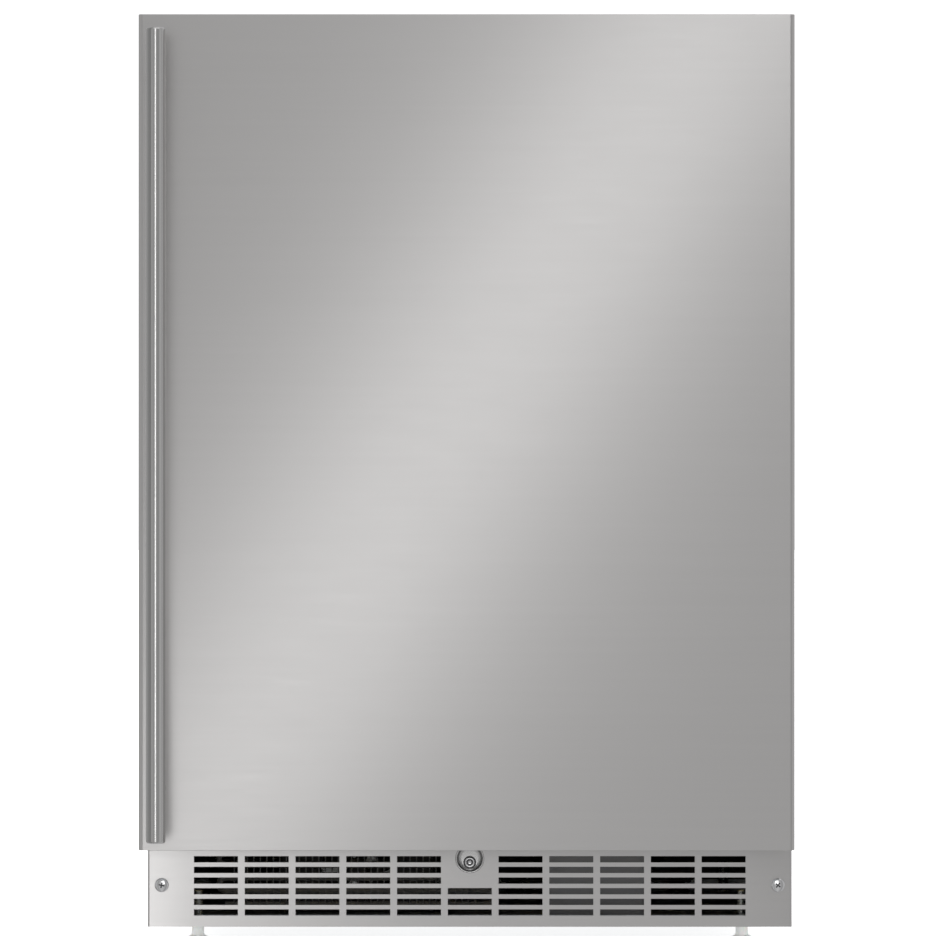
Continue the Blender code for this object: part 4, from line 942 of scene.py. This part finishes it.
def build_controls():
    """The temperature knob with its scale, the door's light button and the lamp cover."""
    dress("white_plastic", "control_housing", "evaporator_cover", edge=0.0005)
    dress("lamp", "lamp_cover", edge=0.0004)
    corner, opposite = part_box("temperature_knob")
    spot = middle("temperature_knob")
    low_z, face = corner.z, low("control_housing").z
    profile = [(0.0, opposite.z), (0.003, opposite.z), (0.003, face - 0.0006),
               (0.0150, face - 0.0006), (0.0154, face - 0.0012), (0.0154, face - 0.0028),
               (0.0142, face - 0.0036), (0.0138, low_z + 0.0012), (0.0134, low_z + 0.0004),
               (0.0126, low_z), (0.0085, low_z), (0.0070, low_z + 0.0006), (0.0, low_z + 0.0008)]
    knob = fluted(profile, (spot.x, spot.y, 0), 18, 0.0009, low_z + 0.0010, face - 0.0034)
    piece = finish_mesh("thermostat_knob", knob, "grey_plastic", "temperature_dial",
                        smooth=45)
    mark = boxes([((spot.x - 0.0006, spot.y - 0.0132, low_z - 0.0002),
                   (spot.x + 0.0006, spot.y - 0.0085, low_z + 0.0010))])
    pointer = round_edges(finish_mesh("thermostat_pointer", mark, "white_plastic",
                                      "temperature_dial"), 0.0001)
    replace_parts(piece, "temperature_knob")
    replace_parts(pointer, "temperature_knob")
    ticks = []
    for index in range(8):
        tick = bmesh.new()
        size = 0.0015 + 0.0001 * index
        add_box(tick, (-0.0003, -0.0178 - size, face - 0.0002), (0.0003, -0.0178, face + 0.0003))
        tick.transform(Matrix.Translation((spot.x, spot.y, 0))
                       @ Matrix.Rotation(math.radians(-135 + 38.5 * index), 4, "Z"))
        ticks.append(tick)
    finish_mesh("thermostat_ticks", merge(ticks), "black_plastic", "cabinet")
    corner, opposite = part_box("light_button")
    spot = middle("light_button")
    radius = half_width("light_button")
    dome = [(radius - 0.0009 + 0.0009 * math.cos(math.radians(t)),
             corner.z + 0.0012 - 0.0009 * math.sin(math.radians(t))) for t in range(0, 91, 15)]
    button = lathe([(0.0, opposite.z), (radius, opposite.z)] + dome
                   + [(radius * 0.5, corner.z + 0.00008), (0.0, corner.z)], (spot.x, spot.y, 0),
                   "+Z", 48)
    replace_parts(finish_mesh("light_plunger", button, "grey_plastic", "light_switch"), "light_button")


# ---- cold air and machine bay ----
def build_fan(name, node, body, blades, hub, turn_up):
    """A moulded fan: a hub with twisted, swept blades."""
    corner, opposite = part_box(node)
    spot = middle(node)
    radius = max(opposite.x - corner.x, opposite.z - corner.z) / 2 - 0.0004
    depth = opposite.y - corner.y
    core = lathe([(0.0, depth / 2), (hub - 0.0015, depth / 2), (hub, depth / 2 - 0.0015),
                  (hub, -depth / 2), (hub - 0.0012, -depth / 2), (hub - 0.0012, depth / 2 - 0.0020),
                  (0.0, depth / 2 - 0.0020)], spot, "-Y", 48)
    shapes = [core]
    for index in range(blades):
        blade = bmesh.new()
        faces = []
        for side in (-0.0005, 0.0005):
            grid = []
            for step in range(7):
                reach = hub - 0.0006 + (radius - hub + 0.0006) * step / 6
                pitch = math.radians(turn_up - 16 * step / 6)
                chord = radius * (0.38 + 0.12 * step / 6)
                sweep = math.radians(14) * (step / 6) ** 2
                row = []
                for k in range(7):
                    across = (k / 6 - 0.5) * chord
                    camber = 0.06 * chord * (1 - (2 * k / 6 - 1) ** 2)
                    y = -across * math.sin(pitch) + camber + side
                    y = max(-depth / 2, min(depth / 2, y))
                    turn = math.tau * index / blades + across * math.cos(pitch) / reach + sweep
                    row.append(blade.verts.new((spot.x + reach * math.cos(turn), spot.y + y,
                                                spot.z + reach * math.sin(turn))))
                grid.append(row)
            faces.append(grid)
        back, front = faces
        for i in range(6):
            for k in range(6):
                for grid in faces:
                    blade.faces.new((grid[i][k], grid[i + 1][k], grid[i + 1][k + 1], grid[i][k + 1]))
            for k in (0, 6):
                blade.faces.new((back[i][k], back[i + 1][k], front[i + 1][k], front[i][k]))
        for k in range(6):
            for i in (0, 6):
                blade.faces.new((back[i][k], back[i][k + 1], front[i][k + 1], front[i][k]))
        shapes.append(blade)
    piece = finish_mesh(name, merge(shapes), "black_plastic", body, 45)
    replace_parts(piece, node)


def build_cold_air():
    build_fan("cold_fan_rotor", "evaporator_fan", "cold_fan", 5, 0.012, 34)
    dress("zinc", "evaporator_fan_motor", edge=0.0005)
    dress("aluminium", "evaporator_coil")
    corner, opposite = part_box("evaporator_coil")
    fins = boxes([((x, corner.y - 0.003, corner.z - 0.002), (x + 0.0003, opposite.y + 0.003,
                                                             opposite.z + 0.002))
                  for x in [corner.x + 0.022 + 0.0065 * i for i in range(41)]])
    finish_mesh("evaporator_fins", fins, "aluminium", "cabinet")


def build_machine_bay():
    dress("dark_grey_paint", "control_box", edge=0.0003)
    dress("satin_black", "condenser_coil")
    dress("black_plastic", "condenser_shroud", edge=0.0004)
    dress("zinc", "condenser_fan_motor", edge=0.0006)
    dress("copper", "filter_drier", "discharge_line", "liquid_line", "suction_line")
    build_fan("bay_fan_rotor", "condenser_fan", "bay_fan", 5, 0.010, 34)
    corner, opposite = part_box("condenser_coil")
    wires = []
    for side in (corner.y - 0.0005, opposite.y + 0.0005):
        for index in range(38):
            x = corner.x + 0.018 + 0.0062 * index
            wires.append(rod(0.0006, corner.z - 0.001, opposite.z + 0.001, (x, side, 0), "+Z", 8))
    finish_mesh("condenser_wires", merge(wires), "satin_black", "cabinet")
    corner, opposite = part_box("control_box")
    lid = boxes([((corner.x - 0.0008, corner.y - 0.0010, opposite.z - 0.012),
                  (opposite.x + 0.0008, corner.y - 0.0002, opposite.z + 0.0008)),
                 ((corner.x - 0.0008, corner.y - 0.0010, opposite.z + 0.0001),
                  (opposite.x + 0.0008, opposite.y, opposite.z + 0.0009))])
    round_edges(finish_mesh("control_box_lid", lid, "dark_grey_paint", "cabinet"), 0.0002)
    corner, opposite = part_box("drain_pan")
    tray = loft_tray(corner, opposite, 0.0018, 0.006, 0.012, 0.0015, 0.004)
    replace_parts(finish_mesh("drain_tray", tray, "black_plastic", "cabinet",
                            smooth=50), "drain_pan")
    build_compressor()


def build_compressor():
    """The welded can with its seam, feet, terminal cover and rubber mounts."""
    corner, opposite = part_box("compressor")
    x, top = (corner.x + opposite.x) / 2, opposite.z
    radius = 0.068
    y = opposite.y - radius - 0.003
    bottom = corner.z + 0.011
    crown = arc((0.0, 0.0), 1.0, 90, 0, 14)
    upper = [(radius * u, top - 0.030 + 0.030 * v) for u, v in crown]
    seam = [(radius, 0.1240), (radius + 0.0012, 0.1236), (radius + 0.0026, 0.1222),
            (radius + 0.0026, 0.1210), (radius + 0.0012, 0.1198), (radius + 0.0026, 0.1184),
            (radius + 0.0026, 0.1166), (radius + 0.0010, 0.1150), (radius, 0.1145)]
    lower = [(radius * u, bottom + 0.030 - 0.030 * v) for u, v in reversed(crown)]
    can = lathe(upper + seam + lower, (x, y, 0), "+Z", 96)
    piece = finish_mesh("compressor_can", can, "gloss_black", "cabinet")
    feet_z = corner.z + 0.010
    plate = boxes([((corner.x, y - 0.055, feet_z), (opposite.x, y - 0.030, feet_z + 0.0025)),
                   ((corner.x, y + 0.030, feet_z), (opposite.x, y + 0.055, feet_z + 0.0025)),
                   ((x - 0.050, y - 0.055, feet_z), (x + 0.050, y + 0.055, feet_z + 0.0024))])
    feet = round_edges(finish_mesh("compressor_feet", plate, "gloss_black", "cabinet"), 0.0006)
    cover = boxes([((x - 0.020, corner.y, 0.100), (x + 0.020, y - 0.055, 0.150))])
    box_piece = round_edges(finish_mesh("terminal_cover", cover, "black_plastic",
                                        "cabinet"), 0.003, 4)
    mounts = []
    for side_x in (-0.082, 0.082):
        for side_y in (-0.042, 0.042):
            mounts.append(lathe([(0.0, 0.0132), (0.0075, 0.0132), (0.0088, 0.0122),
                                 (0.0072, 0.0100), (0.0072, 0.0080), (0.0090, 0.0055),
                                 (0.0078, 0.0030), (0.0090, 0.0), (0.0, 0.0)],
                                (x + side_x, y + side_y, corner.z), "+Z", 32))
    rubber = finish_mesh("compressor_mounts", merge(mounts), "rubber", "cabinet")
    for replacement in (piece, feet, box_piece, rubber):
        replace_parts(replacement, "compressor")


# ---- feet ----
PAD_TOP = 0.0118
NUT_TOP = 0.0196
THREAD_END = 0.0310           # below this the stud is inside its nylon sleeve
THREAD_PITCH = 0.00125


def build_feet():
    """A swivel pad, a nut and a sleeve of nylon on a zinc-plated stud, four times."""
    for end in ("front", "rear"):
        for side in ("left", "right"):
            node = f"foot_{end}_{side}"
            body = f"foot_{end[0]}{side[0]}"
            spot = middle(node)
            top = high(node).z
            pad = lathe([(0.0, PAD_TOP), (0.0105, PAD_TOP), (0.0125, 0.0108), (0.0180, 0.0078),
                         (0.0190, 0.0066), (0.0190, 0.0012), (0.0178, 0.0), (0.0, 0.0)],
                        (spot.x, spot.y, 0), "+Z", 64)
            pad_piece = finish_mesh(f"{node}_pad", pad, "nylon", body, smooth=40)
            nut = lathe([(0.0, NUT_TOP), (0.0078, NUT_TOP), (0.0090, NUT_TOP - 0.0008),
                         (0.0090, PAD_TOP + 0.0009), (0.0078, PAD_TOP), (0.0, PAD_TOP)], (spot.x, spot.y, 0), "+Z", 6)
            nut_piece = round_edges(finish_mesh(f"{node}_nut", nut, "nylon", body,
                                                smooth=20), 0.0004)
            thread, z = [(0.0, top), (0.0040, top)], top - 0.001
            while z > THREAD_END:
                thread += [(0.0049, z), (0.0049, z - 0.0002), (0.0042, z - 0.0007),
                           (0.0042, z - 0.0009)]
                z -= THREAD_PITCH
            thread.append((0.0, z))
            stud_piece = finish_mesh(f"{node}_stud", lathe(thread, (spot.x, spot.y, 0), "+Z", 32),
                                     "zinc", body, smooth=20)
            sleeve = lathe([(0.0, z + 0.0004), (0.0050, z + 0.0004), (0.0056, z - 0.0004),
                            (0.0058, 0.0216), (0.0070, 0.0194), (0.0, 0.0194)],
                           (spot.x, spot.y, 0), "+Z", 48)
            sleeve_piece = finish_mesh(f"{node}_sleeve", sleeve, "nylon", body,
                                       smooth=50)
            for piece in (pad_piece, nut_piece, stud_piece, sleeve_piece):
                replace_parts(piece, node)


# ---- camera, light and floor ----
VIEW_DISTANCE = 6.0          # from the door's face
VIEW_WIDTH = 0.8625          # of the door's plane in view
VIEW_CENTRE = (0.00125, 0.4578)
cad_door_face = low("door_skin").y


def build_camera():
    data = bpy.data.cameras.new("camera")
    data.sensor_width = 36.0
    data.lens = data.sensor_width * VIEW_DISTANCE / VIEW_WIDTH
    data.clip_end = 60.0
    camera = bpy.data.objects.new("camera", data)
    bpy.context.scene.collection.objects.link(camera)
    camera.location = (VIEW_CENTRE[0], cad_door_face - VIEW_DISTANCE, VIEW_CENTRE[1])
    camera.rotation_euler = (math.pi / 2, 0, 0)
    bpy.context.scene.camera = camera


def area_light(name, at, towards, size, power, roll=0.0):
    data = bpy.data.lights.new(name, "AREA")
    data.shape = "RECTANGLE"
    data.size, data.size_y = size
    data.energy = power
    light = bpy.data.objects.new(name, data)
    bpy.context.scene.collection.objects.link(light)
    aim = (Vector(towards) - Vector(at)).normalized()
    light.matrix_world = (Matrix.Translation(at) @ aim.to_track_quat("-Z", "Y").to_matrix().to_4x4()
                          @ Matrix.Rotation(roll, 4, "Z"))
    light.visible_camera = False
    return light


BAND_ANGLE = math.radians(53.0)
BAND_DISTANCE = 1.2
BAND_MIDDLE = (-0.002, 0.52)       # where the band crosses the middle of the door
handle_pieces, grille_pieces, fittings = [], [], []


def link_light(light, pieces, state):
    """Let a light shine only on some pieces, or on all but those."""
    linked = bpy.data.collections.new(f"{light.name}_{state.lower()}")
    for piece in pieces:
        linked.objects.link(piece)
    light.light_linking.receiver_collection = linked
    for entry in linked.collection_objects:
        entry.light_linking.link_state = state


def build_lights():
    """A slanted soft strip near the door, an overhead softbox and an even surround."""
    grow = 1 + BAND_DISTANCE / VIEW_DISTANCE
    x = BAND_MIDDLE[0] * grow
    z = VIEW_CENTRE[1] + (BAND_MIDDLE[1] - VIEW_CENTRE[1]) * grow
    at = Vector((x, cad_door_face - BAND_DISTANCE, z))
    band = area_light("band_strip", at, at + Vector((0, 1, 0)), (0.22, 2.4), 1.75,
                      roll=BAND_ANGLE - math.pi / 2)
    for_handle = area_light("handle_strip", (-0.28, -3.2, 0.6), (-0.28, -0.3, 0.5), (0.30, 3.5), 7.0)
    glow = area_light("grille_glow", (-0.62, -1.25, 0.05), (-0.26, -0.22, 0.06), (0.35, 0.6), 0.7)
    for_fittings = area_light("fitting_light", (0.0, -2.5, 0.75), (0.0, -0.22, 0.08), (1.0, 1.2), 4.5)
    side_fill = area_light("left_fill", (-3.0, -0.9, 0.5), (-0.3, -0.27, 0.5), (2.4, 2.4), 3.6)
    link_light(band, handle_pieces + fittings, "EXCLUDE")
    link_light(for_handle, handle_pieces, "INCLUDE")
    link_light(glow, grille_pieces, "INCLUDE")
    link_light(for_fittings, fittings, "INCLUDE")
    link_light(side_fill, handle_pieces, "EXCLUDE")
    lamp = middle("lamp_cover")
    area_light("cabinet_lamp", (lamp.x, lamp.y, low("lamp_cover").z - 0.002),
               (lamp.x, lamp.y + 0.05, 0.3), (0.05, 0.05), 0.7)
    area_light("overhead", (0.3, -1.6, 3.2), (0, 0, 0.3), (3.0, 3.0), 12.0)
    world = bpy.data.worlds.new("studio")
    bpy.context.scene.world = world
    world.use_nodes = True
    sky = Nodes(world.node_tree)
    is_glossy = sky.node("ShaderNodeLightPath").outputs["Is Glossy Ray"]
    seen = sky.mix_colour(is_glossy, (1.15, 1.15, 1.15), glossy_surround(sky))
    sky.link(seen, sky.tree.nodes["Background"].inputs["Color"])


# brightness of the surround seen in gloss, by compass angle from the front (- is the left)
SURROUND = ((-180, 0.52), (-112, 0.38), (-78, 0.28), (-55, 0.27), (-40, 0.52), (-27, 0.33),
            (-14, 0.46), (0, 0.53), (16, 0.42), (31, 0.30), (44, 0.40), (58, 0.56), (71, 0.44),
            (90, 0.50), (110, 0.58), (180, 0.58))


def glossy_surround(sky):
    """Grey by compass angle, from the SURROUND levels."""
    parts = sky.node("ShaderNodeSeparateXYZ")
    sky.link(sky.node("ShaderNodeTexCoord").outputs["Generated"], parts.inputs["Vector"])
    minus = sky.node("ShaderNodeMath", operation="MULTIPLY")
    minus.inputs[1].default_value = -1.0
    sky.link(parts.outputs["Y"], minus.inputs[0])
    angle = sky.node("ShaderNodeMath", operation="ARCTAN2")
    sky.link(parts.outputs["X"], angle.inputs[0])
    sky.link(minus.outputs["Value"], angle.inputs[1])
    turn = sky.node("ShaderNodeMapRange")
    turn.inputs["From Min"].default_value = -math.pi
    turn.inputs["From Max"].default_value = math.pi
    sky.link(angle.outputs["Value"], turn.inputs["Value"])
    ramp = sky.node("ShaderNodeValToRGB")
    ramp.color_ramp.interpolation = "EASE"
    elements = ramp.color_ramp.elements
    while len(elements) < len(SURROUND):
        elements.new(0.5)
    for element, (degrees, level) in zip(elements, SURROUND):
        element.position = (degrees + 180.0) / 360.0
        element.color = (level, level, level, 1.0)
    sky.link(turn.outputs["Result"], ramp.inputs["Fac"])
    return ramp.outputs["Color"]


def build_floor():
    shape = bmesh.new()
    bmesh.ops.create_grid(shape, x_segments=1, y_segments=1, size=30.0)
    mesh = bpy.data.meshes.new("floor")
    shape.to_mesh(mesh)
    shape.free()
    floor = bpy.data.objects.new("floor", mesh)
    bpy.context.scene.collection.objects.link(floor)
    shader = Shader("pale_floor", (0.93, 0.93, 0.93), 0.8)
    shader.principled.inputs["Emission Color"].default_value = (1.0, 1.0, 1.0, 1.0)
    shader.principled.inputs["Emission Strength"].default_value = 0.7
    mesh.materials.append(shader.material)
    floor.visible_glossy = False
    floor.visible_shadow = False


build_door_skin()
build_handle()
build_toe_grille()
for side, turn in (("left", 12.0), ("right", 38.0)):
    build_screw(f"toe_screw_{side}", f"grille_screw_{side}", turn)
build_lock()
build_cabinet()
build_door_back()
build_trays()
build_shelves()
build_controls()
build_cold_air()
build_machine_bay()
build_feet()

build_camera()
build_lights()
build_floor()
bpy.context.scene.view_settings.view_transform = "Standard"
